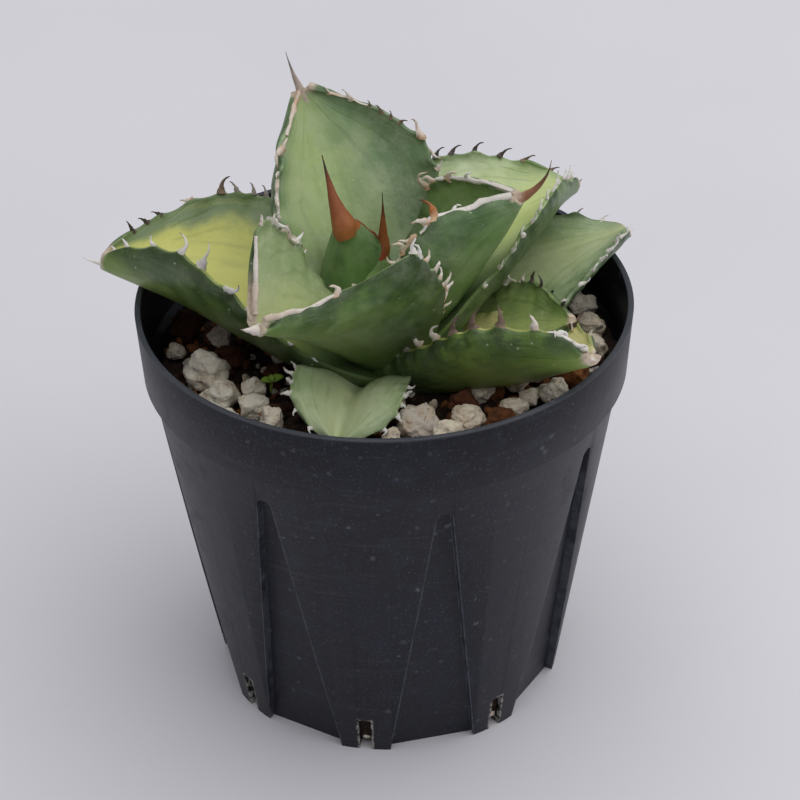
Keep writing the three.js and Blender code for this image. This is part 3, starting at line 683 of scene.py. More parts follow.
# How far each blade runs on below its first section, as a share of its length, to end round the stem.
ROOTED = {"leaf_left": 0.24, "leaf_right_front": 0.16, "leaf_bud": 0.1, "leaf_inner": 0, "leaf_front": 0.1}
ROOTED_ELSE = 0.06

# How deep the midrib is sunk, and how wide the channel is as a share of the half width.
CHANNELS = {"leaf_front": (1.6, 0.13), "leaf_right_front": (1.0, 0.2), "leaf_back": (0.7, 0.2)}

# How far the middle of each half swells up, in millimetres.
LOBES = {"leaf_front": 1.3}


class Midrib:
    """A leaf's centre line, with the three directions of its section at any share t of its length."""

    def __init__(self, leaf, steps=80):
        self.leaf = leaf
        self.steps = steps
        heading = math.radians(leaf["heading"])
        at = Vector((leaf["reach"] * math.cos(heading), leaf["reach"] * math.sin(heading),
                     MIX_LEVEL + leaf["lift"]))
        self.places = [at.copy()]
        for i in range(steps):
            at += self.aim((i + 0.5) / steps) * leaf["length"] / steps
            self.places.append(at.copy())

    def aim(self, t):
        rise = math.radians(blend(self.leaf["rise"], t))
        turn = math.radians(self.leaf["heading"] + self.leaf["sweep"] * max(t, 0) ** 1.5)
        flat = math.cos(rise)
        return Vector((flat * math.cos(turn), flat * math.sin(turn), math.sin(rise)))

    def at(self, t):
        """Place, along, across and up."""
        step = min(max(int(t * self.steps), 0), self.steps - 1)
        place = self.places[step].lerp(self.places[step + 1], t * self.steps - step)
        along = self.aim(t)
        side = Vector((-along.y, along.x, 0)).normalized()
        over = along.cross(side)
        roll = math.radians(blend(self.leaf["roll"], t))
        across = side * math.cos(roll) + over * math.sin(roll)
        up = over * math.cos(roll) - side * math.sin(roll)
        return place, along, across, up


def half_width(leaf, t, side):
    if (leaf["name"], side) == SAIL:
        for (low, narrow), (high, wide) in zip(SAIL_WIDTHS, SAIL_WIDTHS[1:]):
            if t <= high:
                return blend((narrow, wide), max(t - low, 0) / (high - low))
    if t < leaf["widest_at"]:
        opening = math.sin(math.pi / 2 * t / leaf["widest_at"])
        return leaf["half_width"] * (leaf["base_share"] + (1 - leaf["base_share"]) * opening)
    past = (t - leaf["widest_at"]) / (1 - leaf["widest_at"])
    return leaf["half_width"] * (1 - NARROWING * past ** leaf["fullness"])


def leaf_point(leaf, rib, t, v, extra=0.0):
    """A point of the upper face, its outward direction and its normal, v from -1 to 1 across, with the
    leaf wider by extra at its margin."""
    place, along, across, up = rib.at(t)
    side = 1 if v >= 0 else -1
    wider, raised, curl = UNEVEN.get(leaf["name"], {}).get(side, (1, 0, 1))
    fold = math.radians(blend(leaf["fold"], t) + raised)
    cup = math.radians(blend(leaf["cup"], t)) * curl
    slope = fold + cup * abs(v)
    width = half_width(leaf, t, side) * wider
    out = width * (math.sin(slope) - math.sin(fold)) / cup
    lift = width * (math.cos(fold) - math.cos(slope)) / cup
    outward = across * side * math.cos(slope) + up * math.sin(slope)
    normal = up * math.cos(slope) - across * side * math.sin(slope)
    point = place + across * side * out + up * lift + outward * extra * abs(v) ** 5
    return point, outward, normal


def thickness_at(leaf, t, v):
    return MARGIN + leaf["thickness"] * (1 - TAPER * t) * (1 - v * v) ** 0.6


# The teeth of each leaf: side (1 left of the heading, -1 right), place along the leaf, length,
# width at the foot, lean towards the tip, hook (how much more it turns towards the tip), lift out of the
# leaf's face, and the horn it is made of.
TEETH = {
    "leaf_back": [
        (1, 0.97, 2.6, 1.6, 30, 60, 0, "cream"), (1, 0.79, 6.2, 2.6, -60, -50, 6, "cream"),
        (1, 0.785, 3.4, 2.2, 62, 40, 4, "cream"), (1, 0.69, 2.4, 1.5, -30, -60, 5, "bone"),
        (1, 0.63, 1.6, 1.2, 30, 40, 0, "bone"), (1, 0.56, 2.4, 1.5, -20, -50, 10, "bone"),
        (1, 0.48, 1.6, 1.2, 20, 50, 10, "bone"), (1, 0.39, 1.8, 1.2, -20, -50, 10, "dark"),
        (-1, 0.95, 1.8, 1.3, 20, 40, 0, "cream"), (-1, 0.89, 3.0, 1.6, 25, 60, 5, "bone"),
        (-1, 0.83, 1.6, 1.1, 10, 50, 5, "brown"), (-1, 0.79, 2.0, 1.3, 30, 60, 5, "brown"),
        (-1, 0.755, 1.6, 1.1, 0, 60, 5, "brown"), (-1, 0.72, 1.9, 1.2, -20, -40, 5, "brown"),
        (-1, 0.62, 4.6, 2.2, 40, 70, 4, "cream"), (-1, 0.55, 3.2, 1.6, -40, -40, 4, "bone"),
        (-1, 0.46, 2.4, 1.5, 20, 60, 5, "bone"),
    ],
    "leaf_left": [
        (-1, 0.92, 3.2, 1.5, 0, 40, 30, "dark"), (-1, 0.88, 2.6, 1.4, 20, 60, 20, "dark"),
        (-1, 0.84, 2.4, 1.3, 30, 50, 10, "dark"), (-1, 0.75, 2.2, 1.8, 40, 70, 10, "cream"),
        (-1, 0.65, 4.4, 1.9, -15, -55, 25, "brown"), (-1, 0.59, 3.0, 1.5, 10, 70, 20, "grey"),
        (-1, 0.53, 2.6, 1.4, 0, 70, 20, "grey"), (-1, 0.48, 2.6, 1.4, 10, 60, 15, "grey"),
        (-1, 0.42, 2.2, 1.3, 0, 60, 15, "grey"),
        (1, 0.97, 1.8, 1.3, 10, 50, 10, "white"), (1, 0.93, 2.4, 1.6, 0, 70, 10, "white"),
        (1, 0.84, 2.6, 1.6, 30, -60, 10, "white"), (1, 0.74, 5.4, 1.9, -30, 90, 20, "white"),
        (1, 0.65, 6.8, 2.4, -45, 80, 20, "white"), (1, 0.53, 5.0, 2.0, -45, 50, 5, "white"),
        (1, 0.43, 4.2, 1.8, -50, 40, 0, "white"), (1, 0.33, 2.2, 1.3, -20, 60, 0, "white"),
        (1, 0.24, 1.8, 1.2, -10, 50, 0, "white"), (1, 0.14, 1.8, 1.2, -30, 50, 0, "white"),
    ],
    "leaf_front_left": [
        (-1, 0.93, 2.6, 1.6, -20, 60, 10, "bone"), (-1, 0.86, 6.0, 2.6, -60, -70, 10, "white"),
        (-1, 0.81, 3.4, 1.8, 20, 60, 20, "bone"), (-1, 0.74, 6.2, 2.8, -75, -40, 5, "bone"),
        (-1, 0.68, 4.6, 2.4, -60, 90, 15, "white"), (-1, 0.6, 2.2, 1.6, -40, 60, 10, "cream"),
        (1, 0.73, 3.0, 2.4, -10, 60, 10, "cream"), (1, 0.67, 3.4, 1.8, -40, -30, 15, "white"),
        (1, 0.62, 3.6, 2.0, 40, 50, 10, "white"), (1, 0.57, 2.6, 1.6, -10, 60, 20, "cream"),
        (1, 0.48, 3.0, 1.6, 10, -70, 30, "bone"), (1, 0.41, 3.4, 1.7, 0, 80, 30, "bone"),
        (1, 0.355, 3.6, 1.8, -10, 90, 20, "bone"), (1, 0.305, 4.2, 2.0, 10, -80, 20, "bone"),
        (1, 0.25, 3.8, 1.8, 20, 80, 20, "cream"), (1, 0.19, 2.6, 1.6, -10, 60, 10, "cream"),
        (1, 0.12, 2.2, 1.4, 10, 50, 0, "cream"),
    ],
    "leaf_front": [
        (-1, 0.56, 2.2, 1.4, -10, 60, 20, "white"), (-1, 0.63, 2.8, 1.6, -20, 80, 20, "white"),
        (-1, 0.70, 2.4, 1.5, 10, 80, 10, "white"), (-1, 0.78, 2.8, 1.6, -10, 90, 10, "white"),
        (-1, 0.86, 2.4, 1.4, 10, 60, 10, "white"), (-1, 0.94, 2.4, 1.4, 10, 60, 0, "white"),
        (1, 0.50, 2.0, 1.3, -10, 60, 20, "white"), (1, 0.59, 3.0, 1.6, 0, 80, 20, "white"),
        (1, 0.67, 2.2, 1.4, 20, 60, 10, "white"), (1, 0.76, 2.4, 1.4, 10, 60, 10, "white"),
        (1, 0.87, 2.4, 1.4, 10, 60, 0, "white"), (1, 0.95, 2.0, 1.2, 10, 60, 0, "white"),
    ],
    "leaf_right_front": [
        (-1, 0.04, 3.2, 2.0, 20, 60, 20, "bone"), (-1, 0.11, 3.6, 2.0, 10, 80, 20, "bone"),
        (-1, 0.20, 3.2, 2.2, -10, -70, 20, "bone"), (-1, 0.26, 3.4, 1.8, 20, 80, 10, "grey"),
        (-1, 0.34, 4.2, 2.2, -20, 110, 20, "bone"), (-1, 0.43, 3.8, 2.2, -10, 100, 20, "bone"),
        (-1, 0.52, 4.2, 2.2, 10, 80, 25, "brown"), (-1, 0.61, 4.4, 2.2, 0, 80, 25, "brown"),
        (-1, 0.72, 4.6, 2.2, 0, -60, 30, "brown"), (-1, 0.84, 3.8, 2.4, -20, -50, 20, "bone"),
        (-1, 0.91, 2.6, 2.6, 60, 60, 5, "white"), (-1, 0.96, 2.4, 2.2, 40, 60, 0, "white"),
        (1, 0.9, 2.2, 1.4, 10, 60, 10, "bone"), (1, 0.78, 2.8, 1.6, 0, 60, 10, "brown"),
        (1, 0.65, 2.6, 1.6, -10, 60, 10, "brown"),
    ],
    "leaf_right_up": [
        (1, 0.50, 6.2, 2.2, 30, 70, 5, "cream"), (1, 0.58, 4.4, 2.0, -40, -60, 20, "cream"),
        (1, 0.68, 3.6, 2.0, 40, 80, 0, "cream"), (1, 0.80, 3.0, 1.8, 20, 60, -20, "white"),
        (1, 0.9, 1.8, 1.2, 20, 60, 0, "white"),
        (-1, 0.80, 2.6, 1.6, 40, 60, 5, "white"), (-1, 0.73, 5.4, 2.6, 10, -60, 10, "amber"),
        (-1, 0.70, 4.0, 2.2, -50, -30, 5, "cream"), (-1, 0.58, 3.6, 2.0, -40, -40, 5, "cream"),
        (-1, 0.47, 4.6, 2.2, 30, -80, 10, "cream"), (-1, 0.38, 3.2, 1.8, -10, 60, 10, "cream"),
        (-1, 0.91, 1.8, 1.2, 30, 50, 0, "white"),
    ],
    "leaf_right": [
        (1, 0.55, 2.4, 1.4, 10, 60, 15, "grey"), (1, 0.66, 2.2, 1.4, 10, 60, 15, "grey"),
        (1, 0.78, 2.8, 1.5, 0, 60, 20, "grey"), (1, 0.86, 2.4, 1.3, 10, 60, 15, "grey"),
        (1, 0.94, 1.8, 1.2, 10, 50, 10, "white"),
        (-1, 0.96, 2.2, 1.4, 20, 60, 5, "white"), (-1, 0.91, 3.0, 1.6, -10, 90, 10, "white"),
        (-1, 0.87, 3.4, 1.7, 10, -90, 10, "white"), (-1, 0.82, 3.2, 1.6, -10, 80, 10, "white"),
        (-1, 0.77, 3.0, 1.6, 10, -80, 10, "white"), (-1, 0.71, 2.8, 1.5, -10, 70, 10, "white"),
        (-1, 0.64, 2.6, 1.5, 10, 60, 10, "white"), (-1, 0.55, 2.6, 1.4, -10, 60, 10, "white"),
        (-1, 0.45, 2.2, 1.4, 0, 60, 10, "white"),
    ],
    "leaf_back_right": [
        (1, 0.59, 2.8, 1.5, 20, 80, 20, "dark"), (1, 0.65, 2.8, 1.4, 20, 80, 20, "dark"),
        (1, 0.73, 3.0, 1.5, 0, 90, 20, "dark"), (1, 0.81, 2.8, 1.4, 20, 60, 20, "dark"),
        (1, 0.88, 2.6, 1.4, 20, 60, 15, "brown"), (1, 0.95, 2.2, 1.3, 20, 60, 10, "brown"),
        (-1, 0.96, 2.6, 1.5, 10, 60, 5, "bone"), (-1, 0.91, 2.8, 1.6, -10, 60, 10, "white"),
        (-1, 0.85, 2.8, 1.5, -10, 80, 10, "white"), (-1, 0.79, 3.0, 1.5, 10, -60, 10, "white"),
        (-1, 0.73, 2.6, 1.4, 0, 60, 10, "white"), (-1, 0.67, 2.4, 1.4, -10, 60, 10, "white"),
        (-1, 0.60, 2.6, 1.4, 10, 60, 10, "white"), (-1, 0.54, 3.0, 1.5, -10, 60, 10, "white"),
        (-1, 0.47, 2.8, 1.4, 10, 60, 10, "white"), (-1, 0.40, 3.0, 1.5, 0, 60, 10, "white"),
        (-1, 0.32, 2.4, 1.4, 10, 60, 10, "white"), (-1, 0.23, 2.2, 1.3, 0, 60, 10, "white"),
    ],
    "leaf_low_right": [
        (1, 0.30, 2.6, 1.5, 20, 60, 15, "white"), (1, 0.37, 2.8, 1.5, 0, 80, 15, "white"),
        (1, 0.46, 3.4, 1.6, 10, 90, 15, "white"), (1, 0.54, 2.8, 1.5, -10, -60, 20, "bone"),
        (1, 0.60, 2.4, 1.4, 20, 60, 15, "bone"), (1, 0.70, 2.8, 1.5, 0, 80, 15, "dark"),
        (1, 0.78, 2.6, 1.4, 10, -60, 20, "dark"), (1, 0.86, 2.6, 1.4, 20, 60, 15, "dark"),
        (1, 0.94, 2.8, 1.4, 10, 60, 10, "dark"),
        (-1, 0.9, 2.2, 1.3, 10, 60, 10, "dark"), (-1, 0.78, 2.4, 1.4, 0, 60, 10, "dark"),
    ],
    "leaf_back_low": [
        (side, 0.3 + 0.085 * k, 2.2 + 0.3 * (k % 3), 1.4, 10 * (k % 3) - 10, 60, 12,
         ("bone", "grey", "dark")[k % 3])
        for side in (-1, 1) for k in range(8)
    ],
    "leaf_inner": [
        (-1, 0.8, 3.0, 1.8, 20, 40, 10, "amber"), (1, 0.78, 3.4, 1.8, 30, 50, 10, "amber"),
        (-1, 0.5, 3.4, 1.8, 20, 60, 10, "cream"),
    ],
    "leaf_bud": [],
}

# The end spines: length, radius at the foot, lift, turn to the left, bend upwards along it, how hollow its
# taper is (1 is a straight cone), and the horn.
SPINES = {
    "leaf_bud": (14.5, 3.6, 4, -27, 10, 1.7, "red"),
    "leaf_inner": (12, 2.3, 0, 0, 4, 1.7, "red"),
    "leaf_right_up": (11.5, 1.9, -34, 4, 62, 1.5, "chestnut"),
    "leaf_back": (9.4, 1.9, 4, 10, 22, 1.8, "pale"),
    "leaf_front_left": (5.2, 2.0, -4, 0, 10, 1.3, "bone"),
    "leaf_back_right": (3.0, 1.0, 10, 0, 20, 1.2, "brown"),
    "leaf_left": (4.1, 0.95, -6, 0, 10, 1.2, "white"),
    "leaf_right": (1.3, 0.8, 0, 0, 10, 1.2, "bone"),
    "leaf_low_right": (2.0, 0.9, 10, 0, 20, 1.2, "dark"),
    "leaf_right_front": (1.6, 0.9, -10, 0, -20, 1.2, "bone"),
    "leaf_front": (2.0, 0.8, 0, 0, -10, 1.2, "bone"),
    "leaf_back_low": (4, 0.9, 4, 0, 20, 1.2, "brown"),
}

# Horn that runs down a margin: leaf, side, from and to as shares of the leaf's length, width, and the horn.
STRIPS = [
    ("leaf_back", 1, 1.0, 0.84, 1.5, "cream"), ("leaf_back", -1, 1.0, 0.84, 0.5, "cream"),
    ("leaf_back", 1, 0.66, 0.5, 0.8, "bone"), ("leaf_bud", 1, 1.0, 0.25, 1.9, "rust"),
    ("leaf_bud", -1, 1.0, 0.5, 1.8, "rust"), ("leaf_inner", 1, 1.0, 0.3, 0.8, "rust"),
    ("leaf_inner", -1, 1.0, 0.3, 0.8, "rust"), ("leaf_right_up", -1, 1.0, 0.62, 2.4, "white"),
    ("leaf_right_up", 1, 1.0, 0.52, 1.6, "white"), ("leaf_right_up", -1, 0.6, 0.36, 1.2, "cream"),
    ("leaf_front_left", 1, 1.0, 0.7, 1.9, "bone"), ("leaf_front_left", -1, 1.0, 0.972, 1.5, "bone"),
    ("leaf_front_left", 1, 0.36, 0.08, 0.8, "cream"),
    ("leaf_right_front", -1, 1.0, 0.88, 1.2, "white"),
]

# Each horn: its material's name, its colours at the foot, the middle and the point, how much dirt is in its
# cracks, and the share of its length at which the point's colour begins.
HORNS = {
    "white": ("weathered_white_horn", "#e0dace", "#efebe4", "#a89c8e", 0.18, 0.85),
    "bone": ("weathered_bone_horn", "#d2c0ab", "#eae1d6", "#8a7a6c", 0.25, 0.78),
    "cream": ("young_cream_horn", "#cfa888", "#e6d8c8", "#9a6c50", 0.18, 0.8),
    "grey": ("weathered_grey_horn", "#8c8378", "#a39b91", "#4b433e", 0.4, 0.65),
    "brown": ("aged_brown_horn", "#8f7a66", "#796557", "#3a2e28", 0.4, 0.6),
    "dark": ("aged_dark_horn", "#5c5149", "#463c37", "#231d1b", 0.4, 0.6),
    "amber": ("young_amber_horn", "#d8b48c", "#b8733f", "#5a2c1a", 0.2, 0.5),
    "red": ("young_red_horn", "#b06c38", "#98542a", "#17100f", 0.3, 0.5),
    "rust": ("young_rust_horn", "#7d3f24", "#8f5130", "#5a2a1a", 0.3, 0.6),
    "pale": ("weathered_pale_horn", "#dccdbb", "#b9aa9c", "#6e655f", 0.3, 0.5),
    "chestnut": ("young_chestnut_horn", "#e8dccb", "#9c6c4c", "#1c1110", 0.25, 0.4),
}

# Old horn curls and twists as it dries, by up to CURL_MOST degrees. Other horn keeps a slight curl.
CURLED = ("white", "bone", "cream")
CURL_MOST = 34
CURL_SLIGHT = 8
CURL_STEP = 2.4  # radians from one tooth's curl to the next, so that neighbours differ
HOOK_MORE = 1.35  # the hooks of the table, this much stronger

HORN_SIDES = 8
HORN_RINGS = 12
STRIP_REACH = 0.55  # how far through its horn's colours a strip goes, since it has no point
ROOT_DEPTH = 3.5  # how deep a spine starts inside the leaf's tip, at most


def straight_horn():
    """The shape every tooth, spine and strip starts from: a rod of unit radius from 0 to 1 along Z."""
    clear()
    bpy.ops.mesh.primitive_circle_add(vertices=HORN_SIDES, radius=1, fill_type="NGON")
    rod = named("straight_horn")
    bpy.ops.object.mode_set(mode="EDIT")
    bpy.ops.mesh.select_all(action="SELECT")
    for _ in range(HORN_RINGS):
        rise = (0, 0, 1 / HORN_RINGS)
        bpy.ops.mesh.extrude_region_move(TRANSFORM_OT_translate={"value": rise})
    bpy.ops.mesh.select_all(action="SELECT")
    bpy.ops.mesh.normals_make_consistent(inside=False)
    bpy.ops.object.mode_set(mode="OBJECT")
    reach = rod.data.attributes.new("reach", "FLOAT", "POINT")
    for i, vertex in enumerate(rod.data.vertices):
        reach.data[i].value = vertex.co.z
    return rod


def through(points):
    """The way through evenly spaced points, as a function of 0..1."""
    steps = len(points) - 1

    def path(s):
        k = min(int(s * steps), steps - 1)
        return points[k].lerp(points[k + 1], s * steps - k)

    return path


def bent_horn(rod, name, path, width, thin, wide_way, seed, lumpy=0.6):
    """A copy of the rod bent along path, a function of 0..1 to a point in millimetres. width and thin are
    functions of the half width along wide_way and across it, with small seeded lumps."""
    piece = copied(rod, name)
    for vertex in piece.data.vertices:
        s = vertex.co.z
        here = path(s)
        aim = (path(min(s + NUDGE, 1)) - path(max(s - NUDGE, 0))).normalized()
        side = (wide_way - aim * wide_way.dot(aim)).normalized()
        other = aim.cross(side)
        spot = Vector((s * 6 + seed * 3.1, vertex.co.x * 0.9, vertex.co.y * 0.9 + seed))
        lump = 1 + lumpy * noise.noise(spot)
        vertex.co = (here + side * vertex.co.x * width(s) * lump + other * vertex.co.y * thin(s) * lump) * MM
    piece.data.update()
    return piece


def tooth_bumps(name, t, side):
    """How far the margin stands out at t: a fleshy foot under each tooth, a slight hollow between them."""
    leaf = LEAVES[name]
    rise = 0.0
    for tooth in TEETH[name]:
        if tooth[0] == side:
            away = (t - tooth[1]) * leaf["length"] / (0.75 * tooth[3])
            rise += 0.5 * tooth[3] * math.exp(-away * away)
    wave = 0.35 * noise.noise(Vector((t * leaf["length"] * 0.3, leaf["heading"], side)))
    return (rise - 0.35 + wave) * (1 - step_between(0.9, 0.985, t))


# Faces of a blade's grid.
ALONG = 96
ACROSS = 34
CROWDED = 1.35  # how much the rows crowd towards the margins, where the shape is finest


def make_blade(name, skins):
    """A leaf: a grid bent to the leaf's face, with a wavy margin and soft swellings, thickened below."""
    leaf = LEAVES[name]
    rib = Midrib(leaf)
    clear()
    bpy.ops.mesh.primitive_grid_add(x_subdivisions=ALONG, y_subdivisions=ACROSS, size=2, calc_uvs=True)
    blade = named(name + "_blade")
    group = blade.vertex_groups.new(name="thickness")
    most = MARGIN + leaf["thickness"]
    rooted = ROOTED.get(name, ROOTED_ELSE)
    deep, broad = CHANNELS.get(name, (0.35, 0.1))
    seed = leaf["heading"]
    for vertex in blade.data.vertices:
        t = (vertex.co.x + 1) / 2 * (1 + rooted) - rooted
        v = math.copysign(1 - (1 - abs(vertex.co.y)) ** CROWDED, vertex.co.y)
        extra = tooth_bumps(name, t, 1 if v >= 0 else -1)
        point, _, normal = leaf_point(leaf, rib, t, v, extra)
        # Soft swellings, a wavy margin, the sunk midrib and the swollen middle of each half.
        swell = noise.noise(point * 0.07 + Vector((seed, 0, 0))) * 0.8
        swell += noise.noise(point * 0.22 + Vector((0, seed, 0))) * 0.22
        swell *= step_between(0, 0.25, t) * (1 - 0.6 * t)
        ripple = noise.noise(Vector((t * leaf["length"] * 0.23, seed, 3 * (v > 0)))) * 1.5
        ripple *= abs(v) ** 6 * step_between(0.05, 0.3, t)
        crease = -deep * math.exp(-(v / broad) ** 2) * step_between(0.1, 0.4, t) * (1 - 0.5 * t)
        lobe = LOBES.get(name, 0) * math.exp(-((abs(v) - 0.52) / 0.3) ** 2) * step_between(0.05, 0.3, t)
        vertex.co = (point + normal * (swell + ripple + crease + lobe)) * MM
        group.add([vertex.index], thickness_at(leaf, t, v) / most, "REPLACE")
    for layer in blade.data.uv_layers:
        layer.name = "UVMap"
    for skin in skins:
        blade.data.materials.append(skin)
    finish_with(blade, "SOLIDIFY", thickness=most * MM, offset=-1, vertex_group="thickness",
                use_rim=True, material_offset=1, material_offset_rim=0)
    blade.vertex_groups.clear()
    finish_with(blade, "SUBSURF", levels=1, render_levels=1)
    bpy.ops.object.shade_smooth()
    hand_over(blade, "leaf", name)


def tooth_path(foot, out, along, normal, length, lean, hook, lift, curl):
    """From its foot a tooth leans and then hooks towards the leaf's tip, lifts out of its face, and wavers
    by curl degrees on the way."""
    steps = 24
    sunk = 0.5
    points = [foot - out * sunk]
    for i in range(steps):
        s = (i + 0.5) / steps
        turn = math.radians(lean + hook * s * s + curl * math.sin(2 * math.pi * s))
        raise_by = math.radians(lift * (0.4 + 1.2 * s) - 0.6 * curl * math.sin(1.5 * math.pi * s))
        flat = out * math.cos(turn) + along * math.sin(turn)
        aim = flat * math.cos(raise_by) + normal * math.sin(raise_by)
        points.append(points[-1] + aim * (length + sunk) / steps)
    return through(points)


def make_teeth(name, rod, horns):
    """The leaf's teeth, each bent from the same rod and joined into one piece."""
    leaf = LEAVES[name]
    rib = Midrib(leaf)
    parts = []
    for i, (side, t, length, width, lean, hook, lift, kind) in enumerate(TEETH[name]):
        foot, out, normal = leaf_point(leaf, rib, t, side, tooth_bumps(name, t, side))
        foot = foot - normal * MARGIN / 2
        ahead = leaf_point(leaf, rib, min(t + NUDGE, 1), side)[0]
        behind = leaf_point(leaf, rib, max(t - NUDGE, 0), side)[0]
        along = (ahead - behind).normalized()
        out = (out - along * out.dot(along)).normalized()
        curl = CURL_MOST * math.sin(i * CURL_STEP + leaf["heading"]) if kind in CURLED else CURL_SLIGHT
        path = tooth_path(foot, out, along, normal, length, lean, hook * HOOK_MORE, lift, curl)

        # A broad foot, a knuckle a third of the way up, and a long taper.
        def wide(s, half=width / 2):
            knuckle = 0.22 * math.exp(-(((s - 0.3) / 0.14) ** 2))
            return half * (0.62 * math.exp(-((s / 0.17) ** 2)) + 0.46 * (1 - s) ** 0.75 + knuckle + 0.05)

        def thin(s, half=width / 2):
            return half * (0.3 * math.exp(-s / 0.2) + 0.36 * (1 - s) ** 0.6 + 0.06)

        tooth = bent_horn(rod, f"{name}_tooth_{i}", path, wide, thin, along, seed=i + leaf["heading"])
        tooth.data.materials.append(horns[kind])
        parts.append(tooth)
    teeth = joined(parts, name + "_teeth")
    smooth(teeth, 60)
    hand_over(teeth, "leaf")


def make_spine(name, rod, horns):
    """The spine that ends a leaf: a tapering horn that starts inside the tip and bends upwards."""
    leaf = LEAVES[name]
    rib = Midrib(leaf)
    length, radius, lift, turn, bend, hollow, kind = SPINES[name]
    place, along, across, up = rib.at(1)
    aim = (along + up * math.tan(math.radians(lift)) + across * math.tan(math.radians(turn))).normalized()
    side = aim.cross(up).normalized()
    sunk = min(ROOT_DEPTH, length * 0.5)
    start = place - up * thickness_at(leaf, 1, 0) / 2 - aim * sunk
    whole = length + sunk
    steps = 30
    points = [start]
    for i in range(steps):
        turned = Matrix.Rotation(math.radians(bend) * ((i + 0.5) / steps) ** 1.5, 3, side) @ aim
        points.append(points[-1] + turned * whole / steps)

    def wide(s):
        return radius * (0.9 * (1 - s) ** hollow + 0.03) * step_between(-0.25, 0.2, s)

    spine = bent_horn(rod, name + "_spine", through(points), wide, wide, across, seed=radius * 10, lumpy=0.25)
    spine.data.materials.append(horns[kind])
    smooth(spine, 60)
    hand_over(spine, "leaf")


def make_strip(name, side, start, end, width, kind, rod, horns, index):
    """Horn that runs down from the spine along a margin, thinning out as it goes."""
    leaf = LEAVES[name]
    rib = Midrib(leaf)

    def path(s):
        t = start + (end - start) * s
        foot, out, normal = leaf_point(leaf, rib, t, side, tooth_bumps(name, t, side))
        wander = noise.noise(Vector((t * 14, side * 5, width))) * 0.35
        return foot - normal * MARGIN * 0.45 + out * (0.15 + wander)

    def wide(s):
        uneven = 1 + 0.45 * noise.noise(Vector((s * 6, index, 0)))
        return width / 2 * (1 - 0.75 * s) * uneven * step_between(-0.15, 0.1, s)

    def thin(s):
        return 0.62 * wide(s) + 0.22

    _, out, _ = leaf_point(leaf, rib, (start + end) / 2, side)
    strip = bent_horn(rod, f"{name}_margin_horn_{index}", path, wide, thin, out, seed=index * 7)
    for mark in strip.data.attributes["reach"].data:
        mark.value *= STRIP_REACH
    strip.data.materials.append(horns[kind])
    smooth(strip, 60)
    hand_over(strip, "leaf")


# ------------------------------------------------------------------ potting mix and stones

def mix_height(x, y):
    waves = math.sin(x * 0.15 + 1) * math.cos(y * 0.13) + 0.5 * math.sin(x * 0.09 - y * 0.12)
    return MIX_LEVEL + waves - 0.04 * (y - x)


MIX_RADIUS = body_top_radius - POT["wall"]
GAP = 0.3  # between the wall and the nearest grain

# How pale each loose stone is, from 0, cream, to 1, grey, for pumice, and from 0, dark red-brown, to 1,
# orange, for akadama. The rest take a seeded value.
STONE_TINTS = {
    "pumice_01": 0.05, "pumice_02": 0.0, "pumice_03": 0.12, "pumice_04": 0.06, "pumice_05": 0.1,
    "pumice_06": 0.2, "pumice_07": 0.8, "pumice_08": 0.6, "pumice_09": 0.7, "akadama_10": 0.12,
    "akadama_11": 0.1, "akadama_12": 0.2, "akadama_13": 0.3, "akadama_14": 0.2, "pumice_15": 0.72,
    "pumice_16": 0.3, "pumice_17": 0.45, "pumice_18": 0.5, "akadama_19": 0.35, "akadama_20": 0.6,
    "pumice_21": 0.25, "pumice_22": 0.3, "pumice_23": 0.1, "pumice_24": 0.55, "pumice_25": 0.2,
    "pumice_26": 0.12, "akadama_27": 0.85, "pumice_28": 0.3, "pumice_29": 0.08, "pumice_30": 0.05,
}


def tinted(piece, tint):
    attribute = piece.data.attributes.new("tint", "FLOAT", "POINT")
    attribute.data.foreach_set("value", [tint] * len(piece.data.vertices))


STONE_FILL = 1.06  # a stone's size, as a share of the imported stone's
STONE_REGAINED = 1.24  # makes up for what the breaks take off
SHIFT = 90  # how far apart the noise of two stones may lie


def make_stone(node, material, draw):
    """A loose stone: a ball broken flat in places, lumpy and pitted, as big as the space it lies in."""
    low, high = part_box(node)
    centre = (low + high) / 2
    half = (high - low) / 2 * STONE_FILL
    clear()
    bpy.ops.mesh.primitive_ico_sphere_add(subdivisions=5, radius=1)
    stone = named(node + "_stone")
    flats = []
    for _ in range(7):
        aim = Vector([draw.gauss(0, 1) for _ in range(3)]).normalized()
        flats.append((aim, draw.uniform(0.5, 0.82)))
    shift = Vector([draw.uniform(0, SHIFT) for _ in range(3)])
    crumbly = node.startswith("pumice")
    for vertex in stone.data.vertices:
        at = vertex.co.copy()
        at *= 1 + 0.42 * noise.noise(at * 1.15 + shift)
        for aim, distance in flats:
            past = at.dot(aim) - distance
            if past > 0:
                at -= aim * past * 0.6
        at *= 1 + 0.14 * noise.noise(at * 2.6 + shift) - 0.1 * abs(noise.noise(at * 3.7 - shift))
        pits = max(0, noise.noise(at * 7 - shift) - 0.22)
        at *= 1 + 0.035 * noise.noise(at * 9 + shift) - (0.16 if crumbly else 0.06) * pits
        vertex.co = centre + Vector((at.x * half.x, at.y * half.y, at.z * half.z)) * STONE_REGAINED
    tinted(stone, STONE_TINTS.get(node, draw.random()))
    stone.data.materials.append(material)
    choose(stone)
    bpy.ops.object.shade_smooth()
    slot = "pumice" if crumbly else "akadama"
    hand_over(stone, slot, node)


